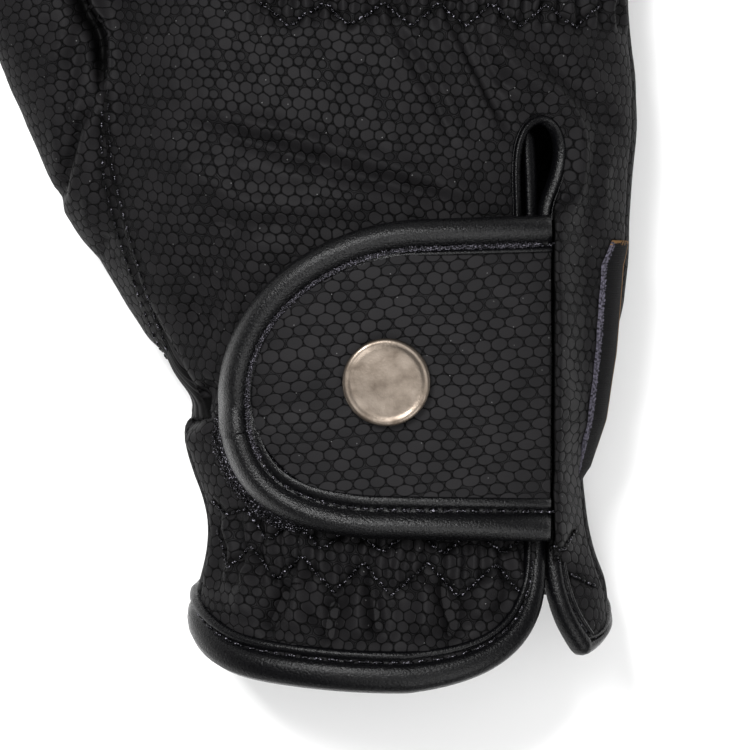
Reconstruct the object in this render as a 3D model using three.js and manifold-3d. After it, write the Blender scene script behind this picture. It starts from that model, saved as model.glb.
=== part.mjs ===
// Riding glove for the right hand, lying on its palm: back, palm and thumb panels, fourchettes, a bound
// cuff with a vent slit, and a wrist strap with a round metal cap. Millimetres, +Z up. +Y runs to the
// fingertips and +X to the little finger. The origin is on the flat of the palm, under the cap.
import * as THREE from "three";
import { mergeVertices } from "three/addons/utils/BufferGeometryUtils.js";
import Module from "manifold-3d";

const wasm = await Module();
wasm.setup();

// Driving dimensions
const palmWidth = 86;
const bodyLength = 135.5; // from the hem at the wrist's side to the knuckles
const bodyHeight = 38;
const cuffReach = 39.5; // from the origin back to the hem at the wrist's side
const wall = 1.8; // leather and lining together
const gap = 0.3; // kept between pieces that meet
const hemDrop = 9.9; // how much further the hem reaches on the back of the wrist
const hemBlend = 26; // stretch of the cuff over which the drop fades
const soleShort = 5; // how much less far it reaches under the palm
const underFrom = 0.2; // as sines of the angle below the side of the wrist
const underFull = 0.9;
const hemTurn = 0.18; // how far under the side of the wrist the drop starts
const hemRoundness = 1.2;
const cornerSag = 1.1; // the hem hangs a little lower towards the thumb's side
const cornerAngle = 2.55; // where it does, as an angle round the section
const cornerSpread = 0.4;
const noseLength = 5; // rounding of the hand between the fingers
const sectionPower = 2.2;
const solePower = 2.6;
const solePress = 1.12; // above 1, the underside is pressed flat where it rests

const foldDepth = 2; // leather folds on the back of the hand
const foldWidth = 6;
const gatherDepth = 1.1; // elastic gathers along the cuff
const gatherPitch = 9.6;
const gatherFrom = 6.5; // from the hem to where the gathers start
const gatherReach = 17;

const fingerHeight = 17;
const fingerRoot = 80; // where the fingers leave the hand's section
const thumbWidth = 25;
const thumbHeight = 22;
const fourchetteWidth = 8.5;
const fourchetteStart = 85; // just short of the forks between the fingers
const tipSeam = 5; // width of the seam at a fingertip, where back and palm meet

const slitTopX = 22.4; // the vent slit's round end
const slitTopY = 37.4;
const slitRadius = 3.5;
const slitFootX = 23.6; // where the slit meets the cuff's corners
const slitFootY = -30;
const slitFootGap = 1.4;
const cornerReach = 19.5; // size of the cuff's rounded corner beside the slit
const cornerRise = 15;
const cornerPull = 0.46; // how long its curve follows the hem, as a share of cornerReach
const cornerLift = 0.6; // and how far up it turns into the slit, as a share of cornerRise
const cornerRunOut = 4;
const slitBow = 0.25; // the slit's left side bows out above the corner
const slitStretch = 1.25; // its end is longer than round
const slitTurn = 1.12; // and goes this far round, in half turns
const slitStraight = 12; // from slitFootY up to where each side is straight

const tailX = 29.8; // the cuff's pointed corner on the slit's other side
const tailBow = 0.4;
const tailReach = 9;

const bindingWidth = 5.4; // bound edge of the hem
const bindingSeat = 0.4; // from the leather to the binding folded round it
const slitBindingWidth = 1.5;
const bindingLeg = 0.8; // its thickness outside the leather
const innerLeg = 0.5; // and inside
const bindingRoll = 1.3; // how far the binding stands past the leather's edge
const bindingLap = 0.05; // keeps the leather's seat at the hem clear of the slit's binding
const slitRoll = 0.5;

const strapRootX = 24.2;
const strapTopY = 25.7;
const strapFootY = -26.8;
const strapTipX = -29.3;
const strapTipY = -4; // the tip's foremost point
const strapLift = 2.1; // strap's underside over the back panel
const strapThickness = 2.4;
const pipingWidth = 4.3;
const pipingHeight = 3.2;
const patchThickness = 0.9;
const patchProud = 0.9; // how far the loop patch shows past the strap
const patchLength = 34;
const patchCutX = -18; // where its upper edge leaves the strap's
const patchCutY = 17.7;
const patchCutRise = 2;
const rollHeight = 5.5; // the back panel's edge, folded up over the strap's root
const rollWidth = 5.2;
const rollOverlap = 8; // how far it runs on past the strap, above and below

const capX = -2.2;
const capY = -1.1;
const capRadius = 7.05;
const capHeight = 1.32;
const capPostRadius = 2;

const labelLength = 38;
const labelWidth = 6.5;
const labelThickness = 0.8;
const labelFoot = 22; // from the hem at the wrist's side to the label
const labelTurnFoot = 0.2; // its angle round the section, at its foot and at its top
const labelTurnTop = 0.62;

const topFacets = 20; // facets of the hand's section, over the back and under the palm
const soleFacets = 8;
const digitSides = 10;
const capSides = 18;
const arcSteps = 9;

// Hand sections: along is a share of bodyLength, left and right of palmWidth, top and side of bodyHeight.
// side is the height at which the section is widest.
const sections = [
  { along: 0.0, left: 0.387, right: 0.392, top: 0.934, side: 0.408 },
  { along: 0.041, left: 0.381, right: 0.386, top: 0.916, side: 0.395 },
  { along: 0.085, left: 0.362, right: 0.367, top: 0.882, side: 0.382 },
  { along: 0.129, left: 0.362, right: 0.357, top: 0.882, side: 0.382 },
  { along: 0.181, left: 0.39, right: 0.35, top: 0.908, side: 0.382 },
  { along: 0.225, left: 0.408, right: 0.373, top: 0.934, side: 0.375 },
  { along: 0.255, left: 0.38, right: 0.382, top: 0.947, side: 0.37 },
  { along: 0.2915, left: 0.418, right: 0.386, top: 0.961, side: 0.368 },
  { along: 0.336, left: 0.452, right: 0.405, top: 0.974, side: 0.365 },
  { along: 0.38, left: 0.503, right: 0.423, top: 0.987, side: 0.355 },
  { along: 0.432, left: 0.546, right: 0.431, top: 1.0, side: 0.342 },
  { along: 0.513, left: 0.578, right: 0.437, top: 1.0, side: 0.329 },
  { along: 0.59, left: 0.583, right: 0.448, top: 0.985, side: 0.329 },
  { along: 0.65, left: 0.583, right: 0.445, top: 0.962, side: 0.329 },
  { along: 0.734, left: 0.574, right: 0.431, top: 0.921, side: 0.316 },
  { along: 0.845, left: 0.576, right: 0.436, top: 0.842, side: 0.303 },
  { along: 0.941, left: 0.572, right: 0.448, top: 0.724, side: 0.289 },
  { along: 1.0, left: 0.547, right: 0.424, top: 0.58, side: 0.263 },
];

// Height of the seam that joins back and palm, as a share of bodyHeight
const seamHeights = [
  { along: -0.3, at: 0.47 },
  { along: 0.3, at: 0.47 },
  { along: 0.6, at: 0.47 },
  { along: 0.85, at: 0.36 },
  { along: 1.0, at: 0.25 },
  { along: 1.2, at: 0.225 },
  { along: 1.8, at: 0.21 },
];

// Folds on the back of the hand: ends as shares of palmWidth across and bodyLength along,
// depth of foldDepth (below 0 it is a ridge) and width of foldWidth.
const folds = [
  { fromX: -0.3, fromY: 0.31, toX: -0.1, toY: 0.27, depth: 0.9, width: 1.0 },
  { fromX: -0.1, fromY: 0.27, toX: 0.2, toY: 0.2, depth: 0.9, width: 0.7 },
  { fromX: -0.28, fromY: 0.35, toX: 0.02, toY: 0.3, depth: -0.6, width: 0.8 },
  { fromX: 0.0, fromY: 0.42, toX: 0.09, toY: 0.29, depth: 0.75, width: 0.45 },
  { fromX: 0.12, fromY: 0.43, toX: 0.22, toY: 0.31, depth: 0.8, width: 0.45 },
  { fromX: 0.07, fromY: 0.43, toX: 0.18, toY: 0.28, depth: -0.7, width: 0.5 },
  { fromX: 0.2, fromY: 0.44, toX: 0.3, toY: 0.28, depth: -0.8, width: 0.6 },
  { fromX: 0.28, fromY: 0.4, toX: 0.38, toY: 0.2, depth: 0.9, width: 0.7 },
  { fromX: -0.43, fromY: -0.06, toX: -0.32, toY: 0.05, depth: 1.1, width: 0.55 },
  { fromX: -0.36, fromY: 0.12, toX: -0.3, toY: -0.02, depth: 0.6, width: 0.9 },
];

// Fingers: root and tip as shares of palmWidth across and bodyLength along, width of palmWidth,
// height of fingerHeight.
const fingers = [
  { name: "index", rootX: -0.44, tipX: -0.515, tipY: 1.17, width: 0.235, height: 1.0 },
  { name: "middle", rootX: -0.195, tipX: -0.215, tipY: 1.265, width: 0.238, height: 1.03 },
  { name: "ring", rootX: 0.05, tipX: 0.09, tipY: 1.2, width: 0.228, height: 0.98 },
  { name: "little", rootX: 0.297, tipX: 0.4, tipY: 1.02, width: 0.208, height: 0.92 },
];

// A finger's form from root to tip: at is a share of its length, wide and high of its width and height
const fingerForm = [
  { at: 0.0, wide: 1.0, high: 1.5 },
  { at: 0.24, wide: 1.0, high: 1.16 },
  { at: 0.66, wide: 0.95, high: 1.0 },
  { at: 0.84, wide: 0.9, high: 0.9 },
  { at: 0.93, wide: 0.78, high: 0.76 },
  { at: 0.98, wide: 0.52, high: 0.52 },
  { at: 1.0, wide: 0.22, high: 0.24 },
];

// Thumb: its centre line as shares of palmWidth across and bodyLength along, from inside the hand
const thumbLine = [
  { x: -0.37, y: 0.06 },
  { x: -0.43, y: 0.16 },
  { x: -0.503, y: 0.255 },
  { x: -0.607, y: 0.4 },
  { x: -0.702, y: 0.53 },
  { x: -0.79, y: 0.66 },
  { x: -0.885, y: 0.79 },
  { x: -0.925, y: 0.845 },
];
const thumbForm = [
  { at: 0.0, wide: 0.8, high: 1.1 },
  { at: 0.14, wide: 0.88, high: 1.12 },
  { at: 0.2, wide: 1.06, high: 1.12 },
  { at: 0.34, wide: 1.05, high: 1.12 },
  { at: 0.5, wide: 1.01, high: 1.04 },
  { at: 0.7, wide: 0.9, high: 0.96 },
  { at: 0.86, wide: 0.8, high: 0.86 },
  { at: 0.94, wide: 0.66, high: 0.7 },
  { at: 0.985, wide: 0.4, high: 0.44 },
  { at: 1.0, wide: 0.18, high: 0.22 },
];

// Seam between the back and the thumb panel, as shares of palmWidth across and bodyLength along
const thumbSeam = [
  { x: -0.35, y: -0.052 },
  { x: -0.378, y: -0.022 },
  { x: -0.424, y: 0.03 },
  { x: -0.474, y: 0.089 },
  { x: -0.519, y: 0.17 },
  { x: -0.547, y: 0.244 },
  { x: -0.556, y: 0.31 },
  { x: -0.551, y: 0.384 },
  { x: -0.556, y: 0.443 },
  { x: -0.585, y: 0.517 },
  { x: -0.64, y: 0.6 },
  { x: -0.7, y: 0.72 },
  { x: -0.72, y: 0.98 },
];

// Bends of the strap's edge: across is a share of the way from its root to its tip, up from its foot to its
// top, and inX and inY say which way an inset moves them
const strapUpper = [
  { across: 0.378, up: 0.985, inX: 0, inY: -1 },
  { across: 0.71, up: 0.981, inX: 1, inY: -1 },
  { across: 1, up: 0.739, inX: 1, inY: 0 },
];
const strapLower = [
  { across: 1, up: 0.158, inX: 1, inY: 1 },
  { across: 0.845, up: 0.025, inX: 1, inY: 1 },
  { across: 0.527, up: 0.01, inX: 0, inY: 1 },
];

// Sections of the bands: across is a share of pipingWidth or rollWidth, up of pipingHeight or rollHeight
const pipingForm = [
  { across: 0.02, up: 0.3 },
  { across: 0.12, up: 0.78 },
  { across: 0.4, up: 1 },
  { across: 0.7, up: 0.94 },
  { across: 0.98, up: 0.68 },
  { across: 1, up: 0.12 },
  { across: 0.6, up: 0 },
  { across: 0.2, up: 0 },
];
const rollForm = [
  { across: 0, up: 0.72 },
  { across: 0.12, up: 0.96 },
  { across: 0.3, up: 1 },
  { across: 0.55, up: 0.72 },
  { across: 0.8, up: 0.28 },
  { across: 1, up: 0 },
];

// The cap's face from its foot over the rim to the middle, as shares of capRadius and capHeight
const capForm = [
  { radius: 0.92, height: 0 },
  { radius: 1, height: 0.2 },
  { radius: 1, height: 0.55 },
  { radius: 0.97, height: 0.85 },
  { radius: 0.91, height: 1 },
  { radius: 0.84, height: 0.88 },
  { radius: 0.76, height: 0.8 },
  { radius: 0.6, height: 0.86 },
  { radius: 0.3, height: 0.96 },
  { radius: 0, height: 1 },
];

const pebbled = { color: 0x1c1c1d, roughness: 0.62, metalness: 0 };
const smooth = { color: 0x121214, roughness: 0.42, metalness: 0 };
const pile = { color: 0x0a0a0b, roughness: 0.95, metalness: 0 };
const tape = { color: 0x17161b, roughness: 0.85, metalness: 0 };
const silver = { color: 0xb0a79f, roughness: 0.34, metalness: 1 };

// Reads one column of a table at a place between its rows, on a smooth curve through them
function column(rows, place, key, at) {
  const last = rows.length - 1;
  if (at <= rows[0][place]) {
    return rows[0][key];
  }
  if (at >= rows[last][place]) {
    return rows[last][key];
  }
  let i = 0;
  while (rows[i + 1][place] < at) {
    i += 1;
  }
  const slope = (k) => {
    const a = Math.max(k - 1, 0);
    const b = Math.min(k + 1, last);
    return (rows[b][key] - rows[a][key]) / (rows[b][place] - rows[a][place]);
  };
  const h = rows[i + 1][place] - rows[i][place];
  const t = (at - rows[i][place]) / h;
  const fromStart = (1 + 2 * t) * (1 - t) ** 2 * rows[i][key] + t * (1 - t) ** 2 * h * slope(i);
  const fromEnd = t * t * (3 - 2 * t) * rows[i + 1][key] + t * t * (t - 1) * h * slope(i + 1);
  return fromStart + fromEnd;
}

function smoothStep(from, to, at) {
  const t = THREE.MathUtils.clamp((at - from) / (to - from), 0, 1);
  return t * t * (3 - 2 * t);
}

const signedPower = (value, power) => Math.sign(value) * Math.abs(value) ** power;

// The section of the hand at a distance from the side hem
function sectionAt(distance) {
  const at = distance / bodyLength;
  const left = column(sections, "along", "left", at) * palmWidth;
  const right = column(sections, "along", "right", at) * palmWidth;
  return {
    half: (left + right) / 2,
    centre: (right - left) / 2,
    top: column(sections, "along", "top", at) * bodyHeight,
    side: column(sections, "along", "side", at) * bodyHeight,
  };
}

// How far the hem's drop moves a point of the back towards the wrist
function dropAt(angle, distance) {
  const rise = Math.max(Math.sin(angle) + hemTurn, 0) / (1 + hemTurn);
  const under = smoothStep(underFrom, underFull, -Math.sin(angle));
  const sag = cornerSag * Math.exp(-(((angle - cornerAngle) / cornerSpread) ** 2));
  const drop = hemDrop * rise ** hemRoundness - soleShort * under + sag;
  return drop * (1 - smoothStep(0, hemBlend, distance));
}

// A point of the hand's plain form: angle 0 is the little-finger side and a quarter turn is the back
function formPoint(angle, distance) {
  const { half, centre, top, side } = sectionAt(distance);
  const up = Math.sin(angle);
  const power = 2 / (up >= 0 ? sectionPower : solePower);
  const x = centre + half * signedPower(Math.cos(angle), power);
  const bulge = Math.abs(up) ** power;
  const rest = (bindingSeat + bindingLeg) * (1 - smoothStep(bindingWidth + 1, bindingWidth * 3, distance));
  const z = up >= 0 ? side + (top - side) * bulge : Math.max(rest, side - side * solePress * bulge);
  return new THREE.Vector3(x, distance - cuffReach - dropAt(angle, distance), z);
}

function formNormal(angle, distance) {
  const step = 0.02;
  const reach = 0.4;
  const across = formPoint(angle + step, distance).sub(formPoint(angle - step, distance));
  const along = formPoint(angle, distance + reach).sub(formPoint(angle, distance - reach));
  return along.cross(across).normalize();
}

// Folds and gathers, as a height over the plain form
function relief(x, y, angle, distance) {
  const onBack = smoothStep(0.1, 0.6, Math.sin(angle));
  let height = 0;
  for (const f of folds) {
    const from = new THREE.Vector2(f.fromX * palmWidth, f.fromY * bodyLength);
    const run = new THREE.Vector2(f.toX * palmWidth, f.toY * bodyLength).sub(from);
    const off = new THREE.Vector2(x, y).sub(from);
    const share = off.dot(run) / run.lengthSq();
    const away = off.cross(run) / run.length() / (f.width * foldWidth * 0.5);
    const ends = smoothStep(-0.25, 0.15, share) * (1 - smoothStep(0.85, 1.25, share));
    height -= f.depth * foldDepth * Math.exp(-away * away) * ends;
  }
  height *= onBack;
  const fade = 3;
  const started = smoothStep(gatherFrom, gatherFrom + fade, distance);
  const cuff = started * (1 - smoothStep(gatherReach - fade, gatherReach, distance));
  const wave = Math.cos((2 * Math.PI * x) / gatherPitch);
  return height + gatherDepth * cuff * wave * smoothStep(0.2, 0.6, Math.sin(angle));
}

function handPoint(angle, distance, offset) {
  const p = formPoint(angle, distance);
  const height = Math.sin(angle) > 0 ? relief(p.x, p.y, angle, distance) : 0;
  return p.addScaledVector(formNormal(angle, distance), offset + height);
}

// The angle of the point of the back that lies over x, at a distance from the side hem
function angleOver(x, distance) {
  const { half, centre } = sectionAt(distance);
  return Math.acos(THREE.MathUtils.clamp(signedPower((x - centre) / half, sectionPower / 2), -0.999, 0.999));
}

// The angle and distance of the point of the back that lies over x and y
function locate(x, y) {
  let distance = y + cuffReach;
  let angle = Math.PI / 2;
  for (let i = 0; i < 12; i += 1) {
    angle = angleOver(x, distance);
    distance = y + cuffReach + dropAt(angle, distance);
  }
  return [angle, distance];
}

// How far back the hem of the back reaches at x
const hemOver = (x) => -cuffReach - dropAt(angleOver(x, 0), 0);

// A point straight above x and y, at a height over the back's plain form and not its folds
function overBack(x, y, offset) {
  const from = new THREE.Vector2(x, y);
  let point;
  for (let i = 0; i < 4; i += 1) {
    const [angle, distance] = locate(from.x, from.y);
    point = formPoint(angle, distance).addScaledVector(formNormal(angle, distance), offset);
    from.set(from.x + x - point.x, from.y + y - point.y);
  }
  return point;
}

function solidOf(geometry) {
  const bare = geometry.index ? geometry.toNonIndexed() : geometry.clone();
  bare.deleteAttribute("normal");
  bare.deleteAttribute("uv");
  const merged = mergeVertices(bare, 1e-4);
  const triVerts = new Uint32Array(merged.index.array);
  const vertProperties = new Float32Array(merged.attributes.position.array);
  return new wasm.Manifold(new wasm.Mesh({ numProp: 3, vertProperties, triVerts }));
}

function geometryOf(solid) {
  const { vertProperties, triVerts } = solid.getMesh();
  const geometry = new THREE.BufferGeometry();
  geometry.setAttribute("position", new THREE.BufferAttribute(vertProperties, 3));
  geometry.setIndex(new THREE.BufferAttribute(triVerts, 1));
  return geometry;
}

// A closed solid through rings of as many points each, capped at both ends or joined in a loop
function loft(rings, looped = false) {
  const count = rings[0].length;
  const points = rings.flat();
  const faces = [];
  const last = looped ? rings.length : rings.length - 1;
  for (let r = 0; r < last; r += 1) {
    const here = r * count;
    const next = ((r + 1) % rings.length) * count;
    for (let i = 0; i < count; i += 1) {
      const j = (i + 1) % count;
      faces.push(here + i, next + i, here + j, here + j, next + i, next + j);
    }
  }
  if (!looped) {
    for (const [r, turned] of [[0, false], [rings.length - 1, true]]) {
      const middle = rings[r].reduce((sum, p) => sum.add(p), new THREE.Vector3());
      points.push(middle.divideScalar(count));
      for (let i = 0; i < count; i += 1) {
        const edge = [r * count + i, r * count + ((i + 1) % count)];
        if (turned) {
          edge.reverse();
        }
        faces.push(points.length - 1, ...edge);
      }
    }
  }
  const geometry = new THREE.BufferGeometry().setFromPoints(points);
  geometry.setIndex(faces);
  const solid = solidOf(geometry);
  if (solid.volume() > 0) {
    return solid;
  }
  for (let i = 0; i < faces.length; i += 3) {
    [faces[i], faces[i + 1]] = [faces[i + 1], faces[i]];
  }
  geometry.setIndex(faces);
  return solidOf(geometry);
}

// An outline in x and y, carried up from low to high
function upright(outline, low, high) {
  const shape = new THREE.Shape(outline.map(([x, y]) => new THREE.Vector2(x, y)));
  const geometry = new THREE.ExtrudeGeometry(shape, { depth: high - low, bevelEnabled: false });
  return solidOf(geometry.translate(0, 0, low));
}

// An outline in y and z, carried across the whole glove
function crosswise(outline) {
  const shape = new THREE.Shape(outline.map(([y, z]) => new THREE.Vector2(y, z)));
  const span = 4 * palmWidth;
  const geometry = new THREE.ExtrudeGeometry(shape, { depth: span, bevelEnabled: false });
  geometry.applyMatrix4(new THREE.Matrix4().makeBasis(
    new THREE.Vector3(0, 1, 0),
    new THREE.Vector3(0, 0, 1),
    new THREE.Vector3(1, 0, 0),
  ));
  return solidOf(geometry.translate(-span / 2, 0, 0));
}

// Angles of the facets once round the hand's section, from the little-finger side
function sectionAngles() {
  const angles = [];
  for (let i = 0; i < topFacets; i += 1) {
    angles.push((Math.PI * i) / topFacets);
  }
  for (let i = 0; i < soleFacets; i += 1) {
    angles.push(Math.PI + (Math.PI * i) / soleFacets);
  }
  return angles;
}

// The hand between the hem and the knuckles
function handSolid(offset, rows, passHem) {
  const rings = rows.map((d) => sectionAngles().map((a) => handPoint(a, d, offset)));
  if (passHem) {
    rings.unshift(rings[0].map((p) => p.clone().setY(p.y - 4 * bindingWidth)));
  } else {
    rings.unshift(sectionAngles().map((a) => handPoint(a, rows[0], offset - 2 * wall)));
  }
  const end = rings[rings.length - 1];
  const { centre, side } = sectionAt(bodyLength);
  for (const share of [0.5, 0.85, 0.98]) {
    const shrink = Math.sqrt(1 - share * share);
    const forward = share * (noseLength + offset);
    const shrunk = (p) => new THREE.Vector3(
      centre + (p.x - centre) * (0.55 + 0.45 * shrink),
      p.y + forward,
      side * 0.8 + (p.z - side * 0.8) * shrink,
    );
    rings.push(end.map(shrunk));
  }
  return loft(rings);
}

// A finger or the thumb: a tube with a round tip along a line of x and y, pressed flat below
function digitSolid(line, width, height, form, offset) {
  const path = line.map(([x, y]) => new THREE.Vector3(x, y, 0));
  const curve = new THREE.CatmullRomCurve3(path, false, "centripetal");
  const length = curve.getLength();
  const rings = form.map(({ at }) => {
    const share = THREE.MathUtils.clamp(at + (at > 0.5 ? offset / length : 0), 0, 1);
    const middle = curve.getPointAt(share);
    const ahead = curve.getTangentAt(share);
    const half = (width * column(form, "at", "wide", at)) / 2;
    const tall = (height * column(form, "at", "high", at)) / 2;
    const ring = [];
    for (let i = 0; i < digitSides; i += 1) {
      const angle = (2 * Math.PI * (i + 0.5)) / digitSides;
      const aside = Math.max(half + offset, 0.3) * Math.cos(angle);
      const rise = Math.max(tall + offset, 0.3) * Math.sin(angle);
      const middleHeight = tall + Math.max(0, 0.28 * (height / 2 - tall));
      const z = Math.max(-offset, middleHeight + rise * (rise < 0 ? solePress : 1));
      ring.push(new THREE.Vector3(middle.x + ahead.y * aside, middle.y - ahead.x * aside, z));
    }
    return ring;
  });
  return loft(rings);
}

const fingerEnds = (f) => [
  [f.rootX * palmWidth, fingerRoot],
  [f.tipX * palmWidth, f.tipY * bodyLength],
];

function gloveSolid(offset, rows, passHem) {
  let solid = handSolid(offset, rows, passHem);
  for (const f of fingers) {
    const width = f.width * palmWidth;
    solid = solid.add(digitSolid(fingerEnds(f), width, f.height * fingerHeight, fingerForm, offset));
  }
  const line = thumbLine.map(({ x, y }) => [x * palmWidth, y * bodyLength]);
  return solid.add(digitSolid(line, thumbWidth, thumbHeight, thumbForm, offset));
}

// Distances of the rings from the side hem, closer together where the leather is gathered
function ringRows(near, far) {
  const rows = [0];
  for (let d = bindingWidth; d < hemBlend; d += near) {
    rows.push(d);
  }
  for (let d = hemBlend + near; d < bodyLength - far / 2; d += far) {
    rows.push(d);
  }
  rows.push(bodyLength);
  return rows;
}

// Half of space over or under the seam that joins back and palm, moved by lift
function seamSide(lift, over) {
  const edge = seamHeights.map(({ along, at }) => [along * bodyLength - cuffReach, at * bodyHeight + lift]);
  const far = over ? 3 * bodyHeight : -bodyHeight;
  return crosswise([...edge, [edge[edge.length - 1][0], far], [edge[0][0], far]]);
}

// The part of the glove that the thumb panel takes, grown by offset
function thumbZone(offset) {
  const edge = thumbSeam.map(({ x, y }) => [x * palmWidth + offset * 1.3, y * bodyLength]);
  edge[0][1] -= offset;
  const far = -1.5 * palmWidth;
  const outline = [...edge, [far, edge[edge.length - 1][1]], [far, edge[0][1]]];
  return upright(outline, -bodyHeight, 3 * bodyHeight);
}

// The space between two fingers, short of their centre lines by inset
function forkZone(first, second, inset, start) {
  const beyond = 10;
  const side = (finger, aside) => {
    const [root, tip] = fingerEnds(finger);
    const slope = (tip[0] - root[0]) / (tip[1] - root[1]);
    const at = (y) => [root[0] + slope * (y - root[1]) + aside, y];
    return [at(start), at(tip[1] + beyond)];
  };
  const outline = [...side(first, inset), ...side(second, -inset).reverse()];
  return upright(outline, -bodyHeight, 3 * bodyHeight);
}

// The edge of the vent slit in x and y: the cuff's rounded corner, up one side of the slit, round its end,
// and down the other side to the cuff's pointed corner. It is moved into the leather by grow along the slit
// and by hemGrow where it meets the hem.
function slitEdge(grow, hemGrow) {
  const left = slitFootX - slitFootGap / 2 - grow;
  const right = slitFootX + slitFootGap / 2 + grow;
  const start = left + grow - cornerReach;
  const hemY = hemOver(start);
  const corner = new THREE.CubicBezierCurve(
    new THREE.Vector2(start, hemY + hemGrow),
    new THREE.Vector2(left + grow - cornerReach * cornerPull - hemGrow / 2, hemY + hemGrow),
    new THREE.Vector2(left, hemY + cornerRise * cornerLift),
    new THREE.Vector2(left, hemY + cornerRise + cornerRunOut),
  );
  const end = [];
  const steps = 6;
  const radius = slitRadius + grow;
  for (let i = 0; i <= steps; i += 1) {
    const angle = Math.PI * (0.5 + slitTurn * (0.5 - i / steps));
    const stretch = Math.sin(angle) > 0 ? slitStretch : 1;
    end.push([slitTopX + radius * Math.cos(angle), slitTopY + radius * Math.sin(angle) * stretch]);
  }
  const tail = new THREE.QuadraticBezierCurve(
    new THREE.Vector2(right, slitFootY),
    new THREE.Vector2(right + tailBow, slitFootY - tailReach),
    new THREE.Vector2(tailX + hemGrow * 0.8, hemOver(tailX)),
  );
  const flat = (p) => [p.x, p.y];
  return [
    ...corner.getPoints(5).map(flat),
    [left - slitBow, slitFootY + slitStraight],
    ...end,
    [right, slitFootY + slitStraight],
    ...tail.getPoints(4).map(flat),
  ];
}

function slitSolid(grow, hemGrow = grow) {
  const edge = slitEdge(grow, hemGrow);
  const below = -cuffReach - hemDrop - 30;
  const outline = [...edge, [edge[edge.length - 1][0], below], [edge[0][0], below]];
  return upright(outline, bodyHeight * 0.5, 3 * bodyHeight);
}

// Points in equal steps from one place up to, but not including, another
function stepsBetween(from, to, count) {
  const points = [];
  for (let i = 0; i < count; i += 1) {
    points.push([0, 1].map((k) => THREE.MathUtils.lerp(from[k], to[k], i / count)));
  }
  return points;
}

// The strap's outer edge in x and y, moved inwards by inset
function strapEdge(inset) {
  const bend = ({ across, up, inX, inY }) => new THREE.Vector2(
    THREE.MathUtils.lerp(strapRootX, strapTipX, across) + inset * inX,
    THREE.MathUtils.lerp(strapFootY, strapTopY, up) + inset * inY,
  );
  const tip = new THREE.Vector2(strapTipX + inset, strapTipY);
  const upper = new THREE.CubicBezierCurve(...strapUpper.map(bend), tip);
  const lower = new THREE.CubicBezierCurve(tip, ...strapLower.map(bend));
  const curved = [...upper.getPoints(arcSteps), ...lower.getPoints(arcSteps).slice(1)];
  const arc = curved.map((p) => [p.x, p.y]);
  const back = stepsBetween([strapRootX, strapFootY + inset], arc[arc.length - 1], 4).reverse();
  return [...stepsBetween([strapRootX, strapTopY - inset], arc[0], 4), ...arc, ...back];
}

// A sheet over the back of the hand, between two heights, with an outline in x and y
function overlay(outline, low, high, cellsX, cellsY) {
  const margin = 1.5;
  const box = new THREE.Box2().setFromPoints(outline.map(([x, y]) => new THREE.Vector2(x, y)));
  box.expandByScalar(margin);
  const rings = [];
  for (let j = 0; j <= cellsY; j += 1) {
    const y = THREE.MathUtils.lerp(box.min.y, box.max.y, j / cellsY);
    const under = [];
    const over = [];
    for (let i = 0; i <= cellsX; i += 1) {
      const x = THREE.MathUtils.lerp(box.min.x, box.max.x, i / cellsX);
      under.push(overBack(x, y, low));
      over.unshift(overBack(x, y, high));
    }
    rings.push([...under, ...over]);
  }
  return loft(rings).intersect(upright(outline, 0, 3 * bodyHeight));
}

// The rounded band that edges the strap
function strapPiping() {
  const inner = strapEdge(pipingWidth);
  const seat = strapLift + 0.2;
  const rings = strapEdge(0).map(([x, y], i) => pipingForm.map(({ across, up }) => overBack(
    THREE.MathUtils.lerp(x, inner[i][0], across),
    THREE.MathUtils.lerp(y, inner[i][1], across),
    seat + pipingHeight * up,
  )));
  return loft(rings);
}

// The binding, folded over the hem from outside to inside and running on up both sides of the slit: a
// thicker hand, less what is past the binding, the leather that it holds and the slit
function cuffBinding() {
  const leg = bindingSeat + bindingLeg;
  const from = (start) => [start, ...outerRows.filter((d) => d > start + 0.01)];
  const inside = -wall - bindingSeat - innerLeg;
  const thick = handSolid(leg, from(-bindingRoll), false).subtract(handSolid(inside, outerRows, true));
  const leather = handSolid(bindingSeat, from(-gap), false)
    .subtract(handSolid(-wall - bindingSeat, outerRows, true))
    .subtract(slitSolid(slitBindingWidth + bindingLap, -gap));
  const past = handSolid(3 * leg, from(bindingWidth), false)
    .subtract(slitSolid(slitBindingWidth, bindingWidth));
  return thick.subtract(slitSolid(-slitRoll)).subtract(past).subtract(leather);
}

// The back panel's edge where it is folded up and sewn over the strap's root
function rolledEdge(grow) {
  const left = strapRootX + gap - grow;
  const width = rollWidth + 2 * grow;
  const seat = -wall / 2 - grow;
  const from = strapFootY - rollOverlap - grow;
  const to = strapTopY + 1.3 * rollOverlap + grow;
  const fade = 1;
  const rings = [];
  const steps = 16;
  for (let i = 0; i <= steps; i += 1) {
    const y = THREE.MathUtils.lerp(from, to, i / steps);
    const started = smoothStep(from - fade, strapFootY, y);
    const rise = rollHeight * started * (1 - smoothStep(strapTopY - fade, to + fade, y));
    const ring = rollForm.map(({ across, up }) => overBack(left + across * width, y, rise * up + gap + grow));
    ring.push(overBack(left + width, y, seat), overBack(left, y, seat));
    rings.push(ring);
  }
  return loft(rings);
}

// Places a solid made about the vertical at a point of the strap's upper face, square to it
function onStrap(geometry, x, y) {
  const [angle, distance] = locate(x, y);
  const up = new THREE.Vector3(0, 0, 1);
  const turn = new THREE.Quaternion().setFromUnitVectors(up, formNormal(angle, distance));
  const seat = overBack(x, y, strapLift + strapThickness + gap);
  return solidOf(geometry.applyQuaternion(turn).translate(seat.x, seat.y, seat.z));
}

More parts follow.
